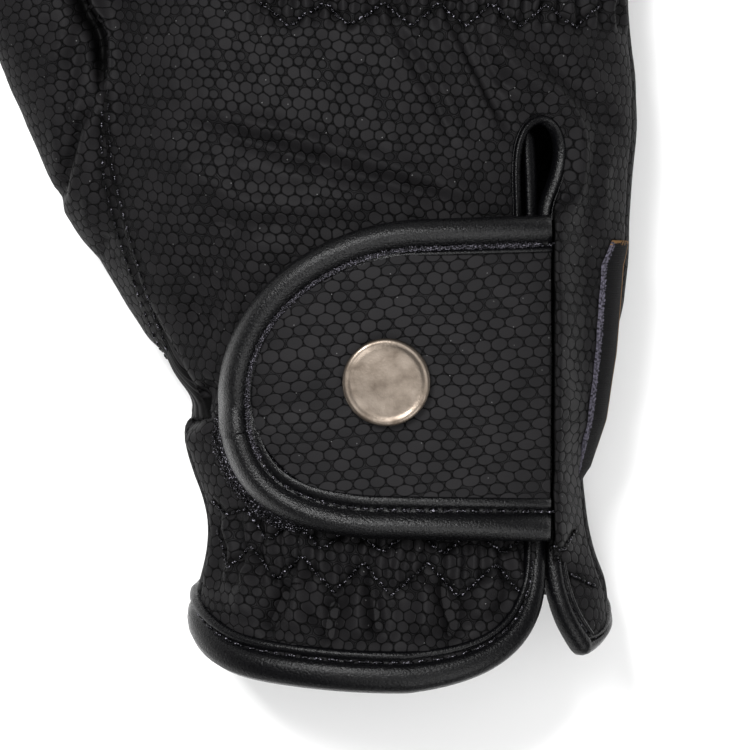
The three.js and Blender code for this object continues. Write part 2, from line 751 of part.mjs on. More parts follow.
// The metal cap, turned about its own axis, with its post through the strap
function capSolid() {
  const low = -strapThickness - gap;
  const post = [[0, low], [capPostRadius, low], [capPostRadius, 0]];
  const profile = post.map(([r, z]) => new THREE.Vector2(r, z));
  for (const { radius, height } of capForm) {
    profile.push(new THREE.Vector2(radius * capRadius, height * capHeight));
  }
  return onStrap(new THREE.LatheGeometry(profile, capSides).rotateX(Math.PI / 2), capX, capY);
}

function capHole() {
  const radius = capPostRadius + gap;
  const geometry = new THREE.CylinderGeometry(radius, radius, 3 * strapThickness, 14);
  return onStrap(geometry.rotateX(Math.PI / 2), capX, capY);
}

// A woven tape sewn on beside the seam of the little-finger side
function labelSolid() {
  const rings = [];
  const steps = 6;
  for (let i = 0; i <= steps; i += 1) {
    const distance = labelFoot + (labelLength * i) / steps;
    const { half, side, top } = sectionAt(distance);
    const start = THREE.MathUtils.lerp(labelTurnFoot, labelTurnTop, i / steps);
    const turn = labelWidth / Math.sqrt(half * (top - side));
    const under = [];
    const over = [];
    for (let j = 0; j <= 3; j += 1) {
      under.push(handPoint(start - (turn * j) / 3, distance, -gap));
      over.unshift(handPoint(start - (turn * j) / 3, distance, gap + labelThickness));
    }
    rings.push([...under, ...over]);
  }
  return loft(rings);
}

const outerRows = ringRows(5, 11);
const shell = gloveSolid(0, outerRows, false)
  .subtract(gloveSolid(-wall, outerRows, true))
  .subtract(slitSolid(slitBindingWidth + gap, 0));
// The hand's surface moved out, so that what lies on it keeps its gap
const clearOfBack = handSolid(gap, outerRows, true);

const middleBand = seamSide(-fourchetteWidth / 2, true).intersect(seamSide(fourchetteWidth / 2, false));
const widerHalf = fourchetteWidth / 2 + gap;
const widerBand = seamSide(-widerHalf, true).intersect(seamSide(widerHalf, false));
const forks = [0, 1, 2].map((i) => [fingers[i], fingers[i + 1]]);
let panels = shell.subtract(thumbZone(gap));
for (const [first, second] of forks) {
  const fork = forkZone(first, second, tipSeam / 2 - gap, fourchetteStart - gap);
  panels = panels.subtract(fork.intersect(widerBand));
}

const rolled = rolledEdge(0).intersect(seamSide(gap / 2, true));
const pieces = [
  ["back_panel", pebbled, panels.intersect(seamSide(gap / 2, true)).add(rolled)],
  ["palm_panel", pebbled, panels.intersect(seamSide(-gap / 2, false))],
  ["thumb_panel", pebbled, shell.intersect(thumbZone(0))],
];
for (const [first, second] of forks) {
  const inset = shell.intersect(forkZone(first, second, tipSeam / 2, fourchetteStart)).intersect(middleBand);
  pieces.push([`fourchette_${first.name}_${second.name}`, pebbled, inset]);
}
const clearOfRoll = rolledEdge(gap);
pieces.push(["cuff_binding", smooth, cuffBinding().subtract(clearOfRoll)]);

const patchStop = strapTipX + patchLength;
const patchOutline = [
  [-palmWidth, strapTipY],
  [patchCutX, patchCutY],
  [patchStop, patchCutY + patchCutRise],
  [patchStop, -palmWidth],
  [-palmWidth, -palmWidth],
];
const patch = overlay(strapEdge(-patchProud), 0, gap + patchThickness, 9, 4)
  .intersect(upright(patchOutline, 0, 3 * bodyHeight));
pieces.push(["loop_patch", pile, patch.subtract(clearOfBack)]);

const strap = overlay(strapEdge(pipingWidth + gap), strapLift, strapLift + strapThickness, 10, 4);
pieces.push(["strap_panel", pebbled, strap.subtract(capHole())]);
pieces.push(["strap_binding", smooth, strapPiping()]);
pieces.push(["button_cap", silver, capSolid()]);
pieces.push(["side_label", tape, labelSolid().subtract(clearOfBack).subtract(clearOfRoll)]);

const glove = new THREE.Group();
for (const [name, finish, solid] of pieces) {
  const mesh = new THREE.Mesh(geometryOf(solid), new THREE.MeshStandardMaterial(finish));
  mesh.name = name;
  glove.add(mesh);
}

export default glove;
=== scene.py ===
import math
from functools import partial

import bpy
import numpy as np
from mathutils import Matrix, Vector
from mathutils.bvhtree import BVHTree


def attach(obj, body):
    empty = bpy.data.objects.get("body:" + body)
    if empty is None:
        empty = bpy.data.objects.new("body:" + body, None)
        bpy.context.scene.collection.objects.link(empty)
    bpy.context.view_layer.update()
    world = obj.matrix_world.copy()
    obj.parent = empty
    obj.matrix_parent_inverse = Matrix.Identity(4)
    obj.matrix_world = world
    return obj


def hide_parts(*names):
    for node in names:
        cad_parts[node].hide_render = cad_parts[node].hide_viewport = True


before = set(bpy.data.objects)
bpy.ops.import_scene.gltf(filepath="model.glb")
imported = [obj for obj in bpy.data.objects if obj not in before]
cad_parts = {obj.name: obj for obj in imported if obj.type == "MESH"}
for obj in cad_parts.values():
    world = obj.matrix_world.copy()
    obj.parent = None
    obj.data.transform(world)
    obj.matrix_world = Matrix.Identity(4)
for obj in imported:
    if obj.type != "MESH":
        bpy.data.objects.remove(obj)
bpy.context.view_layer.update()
print("frame loaded:", len(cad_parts), "nodes")

mm = 0.001

# Form of the hand, the same rules and sizes as the frame's solids
hand = {
    "palmWidth": 86.0,
    "bodyLength": 135.5,
    "bodyHeight": 38.0,
    "cuffReach": 39.5,
    "wall": 1.8,
    "hemDrop": 10.4,
    "soleShort": 5.0,
    "cornerSag": 1.1,  # at the thumb's side
    "cornerAngle": 2.55,
    "cornerReach": 0.4,
    "hemBlend": 26.0,
    "hemTurn": 0.18,
    "hemRoundness": 1.2,
    "noseLength": 5.0,
    "sectionPower": 2.2,
    "solePower": 2.6,
    "solePress": 1.12,
    "liftAtHem": 1.2,  # room for the binding under the palm
    "liftReach": (6.4, 16.2),
    "voxel": 1.1,
    "regrow": 0.35,  # what the smoothing takes off
}

# along a share of bodyLength, left and right of palmWidth, top and side of bodyHeight
handSections = np.array([
    (0.0, 0.387, 0.392, 0.934, 0.408),
    (0.041, 0.381, 0.391, 0.916, 0.395),
    (0.085, 0.362, 0.367, 0.882, 0.382),
    (0.129, 0.362, 0.351, 0.882, 0.382),
    (0.181, 0.39, 0.344, 0.908, 0.382),
    (0.225, 0.408, 0.373, 0.934, 0.375),
    (0.255, 0.38, 0.382, 0.947, 0.37),
    (0.2915, 0.424, 0.386, 0.961, 0.368),
    (0.336, 0.452, 0.405, 0.974, 0.365),
    (0.38, 0.503, 0.423, 0.987, 0.355),
    (0.432, 0.546, 0.431, 1.0, 0.342),
    (0.513, 0.578, 0.437, 1.0, 0.329),
    (0.59, 0.583, 0.448, 0.985, 0.329),
    (0.65, 0.583, 0.445, 0.962, 0.329),
    (0.734, 0.574, 0.431, 0.921, 0.316),
    (0.845, 0.576, 0.436, 0.842, 0.303),
    (0.941, 0.572, 0.448, 0.724, 0.289),
    (1.0, 0.547, 0.424, 0.58, 0.263),
])
seamRows = np.array([(-0.3, 0.47), (0.3, 0.47), (0.6, 0.47), (0.85, 0.36), (1.0, 0.25), (1.2, 0.225), (1.8, 0.21)])
# root and tip across, tip along, width, height
fingerRows = {
    "index": (-0.44, -0.515, 1.17, 0.235, 1.0),
    "middle": (-0.195, -0.215, 1.265, 0.238, 1.03),
    "ring": (0.05, 0.09, 1.2, 0.228, 0.98),
    "little": (0.297, 0.4, 1.02, 0.208, 0.92),
}
fingers = {"height": 17.0, "root": 80.0}
fingerForm = np.array([
    (0.0, 1.0, 1.5), (0.24, 1.0, 1.16), (0.66, 0.95, 1.0), (0.84, 0.9, 0.9), (0.93, 0.78, 0.76),
    (0.98, 0.52, 0.52), (1.0, 0.22, 0.24),
])
thumb = {"width": 25.0, "height": 22.0}
thumbLine = np.array([
    (-0.37, 0.06), (-0.43, 0.16), (-0.503, 0.255), (-0.607, 0.4), (-0.702, 0.53), (-0.79, 0.66), (-0.885, 0.79),
    (-0.925, 0.845),
])
thumbForm = np.array([
    (0.0, 0.7, 1.1), (0.08, 0.86, 1.12), (0.14, 0.93, 1.12), (0.19, 1.06, 1.12), (0.23, 1.085, 1.12),
    (0.34, 1.055, 1.12), (0.42, 1.06, 1.08), (0.5, 1.01, 1.04), (0.7, 0.9, 0.96), (0.86, 0.8, 0.86), (0.94, 0.66, 0.7),
    (0.985, 0.4, 0.44), (1.0, 0.18, 0.22),
])
thumbSeam = np.array([
    (-0.35, -0.052), (-0.378, -0.022), (-0.424, 0.03), (-0.474, 0.089), (-0.519, 0.17), (-0.547, 0.244),
    (-0.556, 0.31), (-0.549, 0.384), (-0.554, 0.414), (-0.582, 0.443), (-0.612, 0.517), (-0.65, 0.6), (-0.7, 0.72),
    (-0.72, 0.98),
])


def smoothStep(start, end, at):
    t = np.clip((at - start) / (end - start), 0, 1)
    return t * t * (3 - 2 * t)


def column(rows, key, at):
    # one column of a table, on a smooth curve through its rows
    xs, ys = rows[:, 0], rows[:, key]
    at = np.clip(at, xs[0], xs[-1])
    i = np.clip(np.searchsorted(xs, at, side="right") - 1, 0, len(xs) - 2)
    before, after = np.maximum(np.arange(len(xs)) - 1, 0), np.minimum(np.arange(len(xs)) + 1, len(xs) - 1)
    slope = (ys[after] - ys[before]) / (xs[after] - xs[before])
    h = xs[i + 1] - xs[i]
    t = (at - xs[i]) / h
    start = (1 + 2 * t) * (1 - t) ** 2 * ys[i] + t * (1 - t) ** 2 * h * slope[i]
    return start + t * t * (3 - 2 * t) * ys[i + 1] + t * t * (t - 1) * h * slope[i + 1]


def signedPower(value, power):
    return np.sign(value) * np.abs(value) ** power


def sectionAt(distance):
    at = distance / hand["bodyLength"]
    left = column(handSections, 1, at) * hand["palmWidth"]
    right = column(handSections, 2, at) * hand["palmWidth"]
    top = column(handSections, 3, at) * hand["bodyHeight"]
    return (left + right) / 2, (right - left) / 2, top, column(handSections, 4, at) * hand["bodyHeight"]


def dropAt(angle, distance):
    # how far the hem hangs below the cuff's end: long on the back, short under the palm
    rise = np.maximum(np.sin(angle) + hand["hemTurn"], 0) / (1 + hand["hemTurn"])
    under = smoothStep(0.2, 0.9, -np.sin(angle))
    sag = hand["cornerSag"] * np.exp(-((np.mod(angle, 2 * np.pi) - hand["cornerAngle"]) / hand["cornerReach"]) ** 2)
    drop = hand["hemDrop"] * rise ** hand["hemRoundness"] - hand["soleShort"] * under + sag
    return drop * (1 - smoothStep(0, hand["hemBlend"], distance))


def formPoint(angle, distance):
    # a point of the plain form: angle 0 is the little-finger side, a quarter turn is the back
    half, centre, top, side = sectionAt(distance)
    up = np.sin(angle)
    power = 2 / np.where(up >= 0, hand["sectionPower"], hand["solePower"])
    bulge = np.abs(up) ** power
    rest = hand["liftAtHem"] * (1 - smoothStep(*hand["liftReach"], distance))
    low = np.maximum(rest, side - side * hand["solePress"] * bulge)
    z = np.where(up >= 0, side + (top - side) * bulge, low)
    y = distance - hand["cuffReach"] - dropAt(angle, distance)
    x = centre + half * signedPower(np.cos(angle), power)
    return np.stack(np.broadcast_arrays(x, y, z), -1)


def backAngle(x, distance):
    half, centre, _, _ = sectionAt(distance)
    return np.arccos(np.clip(signedPower((x - centre) / half, hand["sectionPower"] / 2), -0.999, 0.999))


def unit(vectors):
    return vectors / np.maximum(np.linalg.norm(vectors, axis=-1, keepdims=True), 1e-9)


def formNormal(angle, distance):
    across = formPoint(angle + 0.02, distance) - formPoint(angle - 0.02, distance)
    along = formPoint(angle, distance + 0.4) - formPoint(angle, distance - 0.4)
    return unit(np.cross(along, across))


def onForm(points):
    # angle and distance of points of the hand's skin
    distance = points[:, 1] + hand["cuffReach"]
    for _ in range(8):
        half, centre, top, side = sectionAt(distance)
        rise = points[:, 2] - side
        power = np.where(rise >= 0, hand["sectionPower"], hand["solePower"]) / 2
        tall = np.where(rise >= 0, top - side, side * hand["solePress"])
        angle = np.arctan2(signedPower(rise / tall, power), signedPower((points[:, 0] - centre) / half, power))
        distance = points[:, 1] + hand["cuffReach"] + dropAt(angle, distance)
    return angle, distance


def overBack(x, y, offset):
    # points above x and y, at a height over the back of the hand's plain form
    x, y, offset = np.broadcast_arrays(np.asarray(x, float), np.asarray(y, float), np.asarray(offset, float))
    fromX, fromY = x, y
    for _ in range(4):
        distance = fromY + hand["cuffReach"]
        for _ in range(10):
            angle = backAngle(fromX, distance)
            distance = fromY + hand["cuffReach"] + dropAt(angle, distance)
        point = formPoint(angle, distance) + formNormal(angle, distance) * offset[..., None]
        fromX, fromY = fromX + x - point[..., 0], fromY + y - point[..., 1]
    return point


def backNormal(x, y):
    across = overBack(x + 0.2, y, 0.0) - overBack(x - 0.2, y, 0.0)
    along = overBack(x, y + 0.2, 0.0) - overBack(x, y - 0.2, 0.0)
    return unit(np.cross(across, along))


def seamHeight(y):
    at = (y + hand["cuffReach"]) / hand["bodyLength"]
    return np.interp(at, seamRows[:, 0], seamRows[:, 1]) * hand["bodyHeight"]


# Meshes as arrays
def loft(rings, looped=False):
    # closed quads through rings of as many points each; a fan closes each end
    count, steps = len(rings[0]), len(rings)
    points = np.concatenate(rings)
    faces = []
    for r in range(steps if looped else steps - 1):
        here, after = r * count, (r + 1) % steps * count
        faces += [(here + i, here + (i + 1) % count, after + (i + 1) % count, after + i) for i in range(count)]
    if not looped:
        points = np.vstack([points, rings[0].mean(0), rings[-1].mean(0)])
        last = (steps - 1) * count
        faces += [(len(points) - 2, (i + 1) % count, i) for i in range(count)]
        faces += [(len(points) - 1, last + i, last + (i + 1) % count) for i in range(count)]
    a, b, c = (points[[f[k] for f in faces]] for k in range(3))
    if np.einsum("ij,ij->i", a, np.cross(b, c)).sum() < 0:
        faces = [f[::-1] for f in faces]
    return points, faces


def makeMesh(name, points, faces, grain=None, paintedShade=None, smooth=True):
    mesh = bpy.data.meshes.new(name)
    mesh.from_pydata((np.asarray(points) * mm).tolist(), [], [list(map(int, f)) for f in faces])
    if grain is not None:
        attribute = mesh.attributes.new("grain", "FLOAT_VECTOR", "POINT")
        attribute.data.foreach_set("vector", np.asarray(grain, np.float32).ravel())
    if paintedShade is not None:
        mesh.attributes.new("paintedShade", "FLOAT", "POINT").data.foreach_set("value", np.asarray(paintedShade, np.float32))
    mesh.polygons.foreach_set("use_smooth", [smooth] * len(mesh.polygons))
    mesh.update()
    return mesh


def addObject(name, data):
    made = bpy.data.objects.new(name, data)
    bpy.context.scene.collection.objects.link(made)
    return made


def dress(piece, nodes=()):
    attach(piece, "root")
    if nodes:
        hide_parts(*nodes)
    print(piece.name, len(piece.data.polygons), "faces")


def makePiece(name, points, faces, material, nodes=(), grain=None, paintedShade=None):
    piece = addObject(name, makeMesh(name, points, faces, grain, paintedShade))
    piece.data.materials.append(material)
    dress(piece, nodes)


def evaluated(piece):
    # the piece with its modifiers applied, as a plain mesh
    graph = bpy.context.evaluated_depsgraph_get()
    mesh = bpy.data.meshes.new_from_object(piece.evaluated_get(graph))
    piece.modifiers.clear()
    return mesh


def splitEdges(points, tris, wanted, place):
    # splits edges at a share from their lower-numbered end; wanted and place hold a value for each corner's edge
    ends = np.stack([tris, np.roll(tris, -1, axis=1)], -1)
    low, high = ends.min(-1), ends.max(-1)
    key = low.astype(np.int64) * len(points) + high
    unique, first, index = np.unique(key.ravel(), return_index=True, return_inverse=True)
    split = np.zeros(len(unique), bool)
    np.logical_or.at(split, index.ravel(), wanted.ravel())
    share = place.ravel()[first][split][:, None]
    number = np.full(len(unique), -1)
    number[split] = len(points) + np.arange(split.sum())
    a, b = low.ravel()[first][split], high.ravel()[first][split]
    points = np.vstack([points, points[a] * (1 - share) + points[b] * share])
    mid = number[index].reshape(tris.shape)
    out = [tris[(mid < 0).all(1)]]
    for turn in range(3):
        t, m = np.roll(tris, -turn, axis=1), np.roll(mid, -turn, axis=1)
        one = (m[:, 0] >= 0) & (m[:, 1] < 0) & (m[:, 2] < 0)
        two = (m[:, 0] >= 0) & (m[:, 1] >= 0) & (m[:, 2] < 0)
        (p, q, r), (u, v, _) = t[one].T, m[one].T
        out += [np.stack([p, u, r], 1), np.stack([u, q, r], 1)]
        (p, q, r), (u, v, _) = t[two].T, m[two].T
        out += [np.stack([u, q, v], 1), np.stack([p, u, v], 1), np.stack([p, v, r], 1)]
    three = (mid >= 0).all(1)
    (p, q, r), (u, v, w) = tris[three].T, mid[three].T
    out += [np.stack([p, u, w], 1), np.stack([u, q, v], 1), np.stack([w, v, r], 1), np.stack([u, v, w], 1)]
    return points, np.concatenate(out)


def refine(points, tris, chosen):
    wanted = np.repeat(chosen[:, None], 3, 1)
    return splitEdges(points, tris, wanted, np.full(tris.shape, 0.5))


def cutAlong(points, tris, field):
    # new edges along field = 0; returns also the field's sign for each triangle
    field = np.where(np.abs(field) < 1e-4, 1e-4, field)
    ends = np.stack([tris, np.roll(tris, -1, axis=1)], -1)
    low, high = field[ends.min(-1)], field[ends.max(-1)]
    wanted = (low < 0) != (high < 0)
    place = np.where(wanted, low / np.where(wanted, low - high, 1), 0.5)
    count = len(points)
    points, tris = splitEdges(points, tris, wanted, place)
    field = np.concatenate([field, np.zeros(len(points) - count)])
    return points, tris, field[tris].sum(1) > 0


def vertexNormals(points, tris):
    a, b, c = points[tris[:, 0]], points[tris[:, 1]], points[tris[:, 2]]
    flat = np.cross(b - a, c - a)
    out = np.zeros((len(points), 3))
    for k in range(3):
        np.add.at(out, tris[:, k], flat)
    return unit(out)


def relax(points, tris, rounds, weight=0.5):
    # evens a skin out, each point towards the mean of its neighbours
    pairs = np.concatenate([tris[:, [0, 1]], tris[:, [1, 2]], tris[:, [2, 0]]])
    pairs = np.concatenate([pairs, pairs[:, ::-1]])
    count = np.bincount(pairs[:, 0], minlength=len(points))[:, None]
    for _ in range(rounds):
        total = np.stack([np.bincount(pairs[:, 0], points[pairs[:, 1], k], len(points)) for k in range(3)], -1)
        points = points + weight * (total / np.maximum(count, 1) - points)
    return points


def gridCells(columns, lines):
    # triangles of a grid of points, line after line
    a = (np.arange(lines - 1)[:, None] * columns + np.arange(columns - 1)).ravel()
    b = a + columns
    return np.concatenate([np.stack([a, a + 1, b + 1], 1), np.stack([a, b + 1, b], 1)])


def walled(points, inner, tris):
    # a closed wall between two skins of the same triangles
    used = np.unique(tris)
    number = np.full(len(points), -1)
    number[used] = np.arange(len(used))
    t = number[tris]
    ends = np.concatenate([t[:, [0, 1]], t[:, [1, 2]], t[:, [2, 0]]])
    key = ends.min(1).astype(np.int64) * len(used) + ends.max(1)
    _, index, times = np.unique(key, return_index=True, return_counts=True)
    edge = ends[index[times == 1]]
    n = len(used)
    rim = np.concatenate([
        np.stack([edge[:, 1], edge[:, 0], edge[:, 0] + n], 1),
        np.stack([edge[:, 1], edge[:, 0] + n, edge[:, 1] + n], 1),
    ])
    faces = np.concatenate([t, t[:, ::-1] + n, rim])
    return np.vstack([points[used], inner[used]]), faces, used


def lengthsAlong(line):
    return np.concatenate([[0], np.cumsum(np.linalg.norm(np.diff(line, axis=0), axis=1))])


def polylineDistance(x, y, line):
    # distance to a line of points and the share of it where the nearest point lies; the sign tells the side
    best = np.full(np.shape(x), 1e9)
    share = np.zeros(np.shape(x))
    side = np.zeros(np.shape(x))
    line = np.asarray(line, float)
    start = lengthsAlong(line)
    steps = np.diff(start)
    for k in range(len(line) - 1):
        run = line[k + 1] - line[k]
        t = np.clip(((x - line[k, 0]) * run[0] + (y - line[k, 1]) * run[1]) / (steps[k] ** 2), 0, 1)
        dx, dy = x - line[k, 0] - t * run[0], y - line[k, 1] - t * run[1]
        away = np.hypot(dx, dy)
        nearer = away < best
        best = np.where(nearer, away, best)
        share = np.where(nearer, (start[k] + t * steps[k]) / start[-1], share)
        side = np.where(nearer, np.sign(run[0] * dy - run[1] * dx), side)
    return best, share, side


def resample(line, step):
    line = np.asarray(line, float)
    lengths = lengthsAlong(line)
    at = np.linspace(0, lengths[-1], max(2, int(round(lengths[-1] / step)) + 1))
    return np.stack([np.interp(at, lengths, line[:, k]) for k in range(line.shape[1])], -1)


def rounded(line, rounds=3):
    # a smooth line through the neighbourhood of coarse points, its ends kept
    line = np.asarray(line, float)
    for _ in range(rounds):
        a, b = line[:-1], line[1:]
        cut = np.stack([0.75 * a + 0.25 * b, 0.25 * a + 0.75 * b], 1)
        line = np.vstack([line[:1], cut.reshape(-1, line.shape[1]), line[-1:]])
    return line


def bezier(points, steps):
    t = np.linspace(0, 1, steps + 1)[:, None]
    p = [np.asarray(v, float) for v in points]
    while len(p) > 1:
        p = [a * (1 - t) + b * t for a, b in zip(p[:-1], p[1:])]
    return p[0]


# Materials
def linear(colour):
    parts = [int(colour[i:i + 2], 16) / 255 for i in (1, 3, 5)]
    return [c / 12.92 if c <= 0.04045 else ((c + 0.055) / 1.055) ** 2.4 for c in parts] + [1.0]


def addNode(tree, kind, inputs=(), **settings):
    # kind may end in an operation; inputs is a list from the first socket on, or a dictionary by socket, and a
    # node among them is linked by its first output
    kind, _, operation = kind.partition(" ")
    node = tree.nodes.new(kind)
    if operation:
        node.operation = operation
    for name, value in settings.items():
        setattr(node, name, value)
    for key, value in inputs.items() if isinstance(inputs, dict) else enumerate(inputs):
        if isinstance(value, bpy.types.Node):
            value = value.outputs[0]
        if isinstance(value, bpy.types.NodeSocket):
            tree.links.new(value, node.inputs[key])
        else:
            node.inputs[key].default_value = value
    return node


def newMaterial(name):
    material = bpy.data.materials.new(name)
    material.use_nodes = True
    material.node_tree.nodes.clear()
    return material, partial(addNode, material.node_tree)


def finishMaterial(add, colour, roughness, height, depth, sockets, strength=1.0):
    # depth of the relief in mm; sockets holds the shader's other values
    bump = add("ShaderNodeBump", {"Height": height, "Strength": strength, "Distance": depth * mm})
    shader = add("ShaderNodeBsdfPrincipled", {"Base Color": colour, "Roughness": roughness, "Normal": bump, **sockets})
    add("ShaderNodeOutputMaterial", {"Surface": shader})


calc, vec = "ShaderNodeMath ", "ShaderNodeVectorMath "
pebbleInputs = ("Pitch", "Row", "Slant", "Scatter", "Sizes", "Groove")


# Pebbles pressed into the coat: round islands of mixed size packed in staggered rows, thin grooves between
def pebbleGroup():
    tree = bpy.data.node_groups.new("pebbles", "ShaderNodeTree")
    add = partial(addNode, tree)
    tree.interface.new_socket("Place", in_out="INPUT", socket_type="NodeSocketVector")
    for name in pebbleInputs:
        tree.interface.new_socket(name, in_out="INPUT", socket_type="NodeSocketFloat")
    for name in ("Height", "Pebble", "Tone"):
        tree.interface.new_socket(name, in_out="OUTPUT", socket_type="NodeSocketFloat")
    start = add("NodeGroupInput").outputs
    pitch, row, groove = start["Pitch"], start["Row"], start["Groove"]
    turned = add("ShaderNodeVectorRotate", {"Vector": start["Place"], "Angle": start["Slant"]}, rotation_type="Z_AXIS")
    drift = add("ShaderNodeTexNoise", {"Vector": turned, "Scale": 0.07, "Detail": 1.0}, noise_dimensions="2D")
    drift = add(vec + "SUBTRACT", [drift.outputs["Color"], (0.5, 0.5, 0.5)])
    moved = add(vec + "MULTIPLY_ADD", [drift, (1.6, 1.6, 0.0), turned])
    cell = add("ShaderNodeCombineXYZ", [pitch, add(calc + "MULTIPLY", [row, 2.0]), 1.0])
    place = add(vec + "MULTIPLY", [add(vec + "DIVIDE", [moved, cell]), (1.0, 1.0, 0.0)])
    stretch = add(calc + "DIVIDE", [add(calc + "MULTIPLY", [pitch, 0.866]), row])
    squash = add("ShaderNodeCombineXYZ", [1.0, stretch])
    spread = add("ShaderNodeCombineXYZ", [start["Scatter"], start["Scatter"]])

    # the way to the four nearest pebbles, two in each of two staggered lattices
    away, tones = [], []
    for shift in (0.0, 0.5):
        at = add(vec + "ADD", [place, (shift, shift, 0.0)])
        centre = add(vec + "FLOOR", [add(vec + "ADD", [at, (0.5, 0.5, 0.0)])])
        x = add("ShaderNodeSeparateXYZ", [add(vec + "SUBTRACT", [at, centre])])
        beside = add(vec + "ADD", [centre, add("ShaderNodeCombineXYZ", [add(calc + "SIGN", [x])])])
        for middle in (centre, beside):
            seed = add(vec + "ADD", [middle, (shift * 37.4, 0.3, 0.0)])
            chance = add("ShaderNodeTexWhiteNoise", {"Vector": seed}, noise_dimensions="2D").outputs
            run = add(vec + "MULTIPLY", [add(vec + "SUBTRACT", [middle, at]), cell])
            run = add(vec + "MULTIPLY", [run, squash])
            jog = add(vec + "SUBTRACT", [chance["Color"], (0.5, 0.5, 0.5)])
            run = add(vec + "MULTIPLY_ADD", [jog, spread, run])
            size = add(calc + "MULTIPLY", [add(calc + "SUBTRACT", [chance["Value"], 0.5]), start["Sizes"]])
            away.append(add(calc + "SUBTRACT", [add(vec + "LENGTH", [run]).outputs["Value"], size]))
            tones.append(chance["Value"])
    first, second = (add(calc + "MINIMUM", pair) for pair in (away[:2], away[2:]))
    nearest = add(calc + "MINIMUM", [first, second])
    other = add(calc + "MAXIMUM", [first, second])
    for pair in (away[:2], away[2:]):
        other = add(calc + "MINIMUM", [other, add(calc + "MAXIMUM", pair)])
    edge = add(calc + "SUBTRACT", [other, nearest])
    beyond = add(calc + "SUBTRACT", [nearest, add(calc + "MULTIPLY", [pitch, 0.482])])

    # smooth steps, from and to a number of groove widths
    step = {}
    for name, value, low, high in (
        ("touching", edge, 0.3, 1.7), ("ring", add(calc + "ABSOLUTE", [beyond]), 0.15, 0.8),
        ("shoulder", edge, 0.0, 3.2), ("brink", beyond, 0.0, -1.8), ("between", beyond, 0.0, 1.0),
    ):
        low, high = (add(calc + "MULTIPLY", [groove, share]) for share in (low, high))
        step[name] = add("ShaderNodeMapRange", {"Value": value, "From Min": low, "From Max": high},
                         interpolation_type="SMOOTHSTEP")
    pebble = add(calc + "MULTIPLY", [step["touching"], step["ring"]])
    inside = add(calc + "POWER", [add(calc + "DIVIDE", [nearest, pitch]), 2.0])
    crown = add(calc + "SUBTRACT", [1.0, add(calc + "MULTIPLY", [inside, 0.8])])
    flat = add(calc + "MULTIPLY", [add(calc + "MULTIPLY", [step["shoulder"], step["brink"]]), crown])
    height = add(calc + "ADD", [flat, add(calc + "MULTIPLY", [step["between"], 0.6])])
    nearFirst = add(calc + "LESS_THAN", [first, second])
    tone = add("ShaderNodeMix", {0: nearFirst, 2: tones[2], 3: tones[0]}, data_type="FLOAT")
    add("NodeGroupOutput", {"Height": height, "Pebble": pebble, "Tone": tone})
    return tree


pebbles = pebbleGroup()


# Polyurethane-coated microfibre embossed with pebbles: matte rounded tops, grooves painted near-black as shade, a
# little dust
def grainedLeather(name, look):
    material, add = newMaterial(name)
    grain = add("ShaderNodeAttribute", attribute_name="grain").outputs["Vector"]
    emboss = add("ShaderNodeGroup", {"Place": grain, **{key: look[key.lower()] for key in pebbleInputs}},
                 node_tree=pebbles).outputs
    fine = add("ShaderNodeTexNoise", {"Vector": grain, "Scale": look["fineScale"], "Detail": 3.0})
    cloud = add("ShaderNodeTexNoise", {"Vector": grain, "Scale": look["cloudScale"], "Detail": 2.0})
    mixed = add(calc + "ADD", [add(calc + "MULTIPLY", [cloud, 0.7]), add(calc + "MULTIPLY", [emboss["Tone"], 0.3])])
    speck = add("ShaderNodeTexVoronoi", {"Vector": grain, "Scale": look["dust"]}, voronoi_dimensions="2D").outputs
    kept = add(calc + "GREATER_THAN", [add("ShaderNodeSeparateColor", [speck["Color"]]), 0.55])
    dusty = add(calc + "MULTIPLY", [add(calc + "LESS_THAN", [speck["Distance"], 0.016]), kept])
    # painted shade from the skin's attribute mixes the near-black colour in along seams, the rolled edge and the
    # crevice
    paintedShade = add("ShaderNodeAttribute", attribute_name="paintedShade").outputs["Fac"]
    dark, light, paintedShadeColour, dust = (linear(look[key]) for key in ("dark", "light", "paintedShadeColour", "dustColour"))
    colour = add("ShaderNodeMix", {0: mixed, 6: dark, 7: light}, data_type="RGBA").outputs[2]
    # painted shade: the grooves between pebbles and the painted-shade attribute take the near-black colour
    for factor, below, above in ((emboss["Pebble"], paintedShadeColour, None), (paintedShade, None, paintedShadeColour), (dusty, None, dust)):
        colour = add("ShaderNodeMix", {0: factor, 6: below or colour, 7: above or colour}, data_type="RGBA").outputs[2]
    rough = add("ShaderNodeMapRange", {"Value": add(calc + "ADD", [fine, emboss["Pebble"]]), "From Min": 0.3,
                                       "From Max": 1.5, "To Min": look["roughGroove"], "To Max": look["roughTop"]})
    height = add(calc + "ADD", [emboss["Height"], add(calc + "MULTIPLY", [fine, look["fineHeight"]])])
    finishMaterial(add, colour, rough, height, look["emboss"], {"Specular IOR Level": look["specular"]})
    return material


backLook = {
    "pitch": 1.95, "row": 1.68, "slant": 0.1, "scatter": 0.36, "sizes": 0.42, "groove": 0.1,  # mm
    "emboss": 0.15, "fineScale": 4.4, "fineHeight": 0.2, "cloudScale": 0.12, "dust": 0.2, "dustColour": "#5a5a5a",
    "dark": "#0e0e0f", "light": "#1a191a", "paintedShadeColour": "#030303",
    "roughTop": 0.55, "roughGroove": 0.85, "specular": 0.04,
}
strapLook = {**backLook, "pitch": 2.7, "row": 1.66, "slant": -0.1, "scatter": 0.26, "sizes": 0.26,
             "dark": "#111112", "light": "#201f20", "specular": 0.05}
backLeather = grainedLeather("pebbledLeather", backLook)
strapLeather = grainedLeather("pebbledStrapLeather", strapLook)


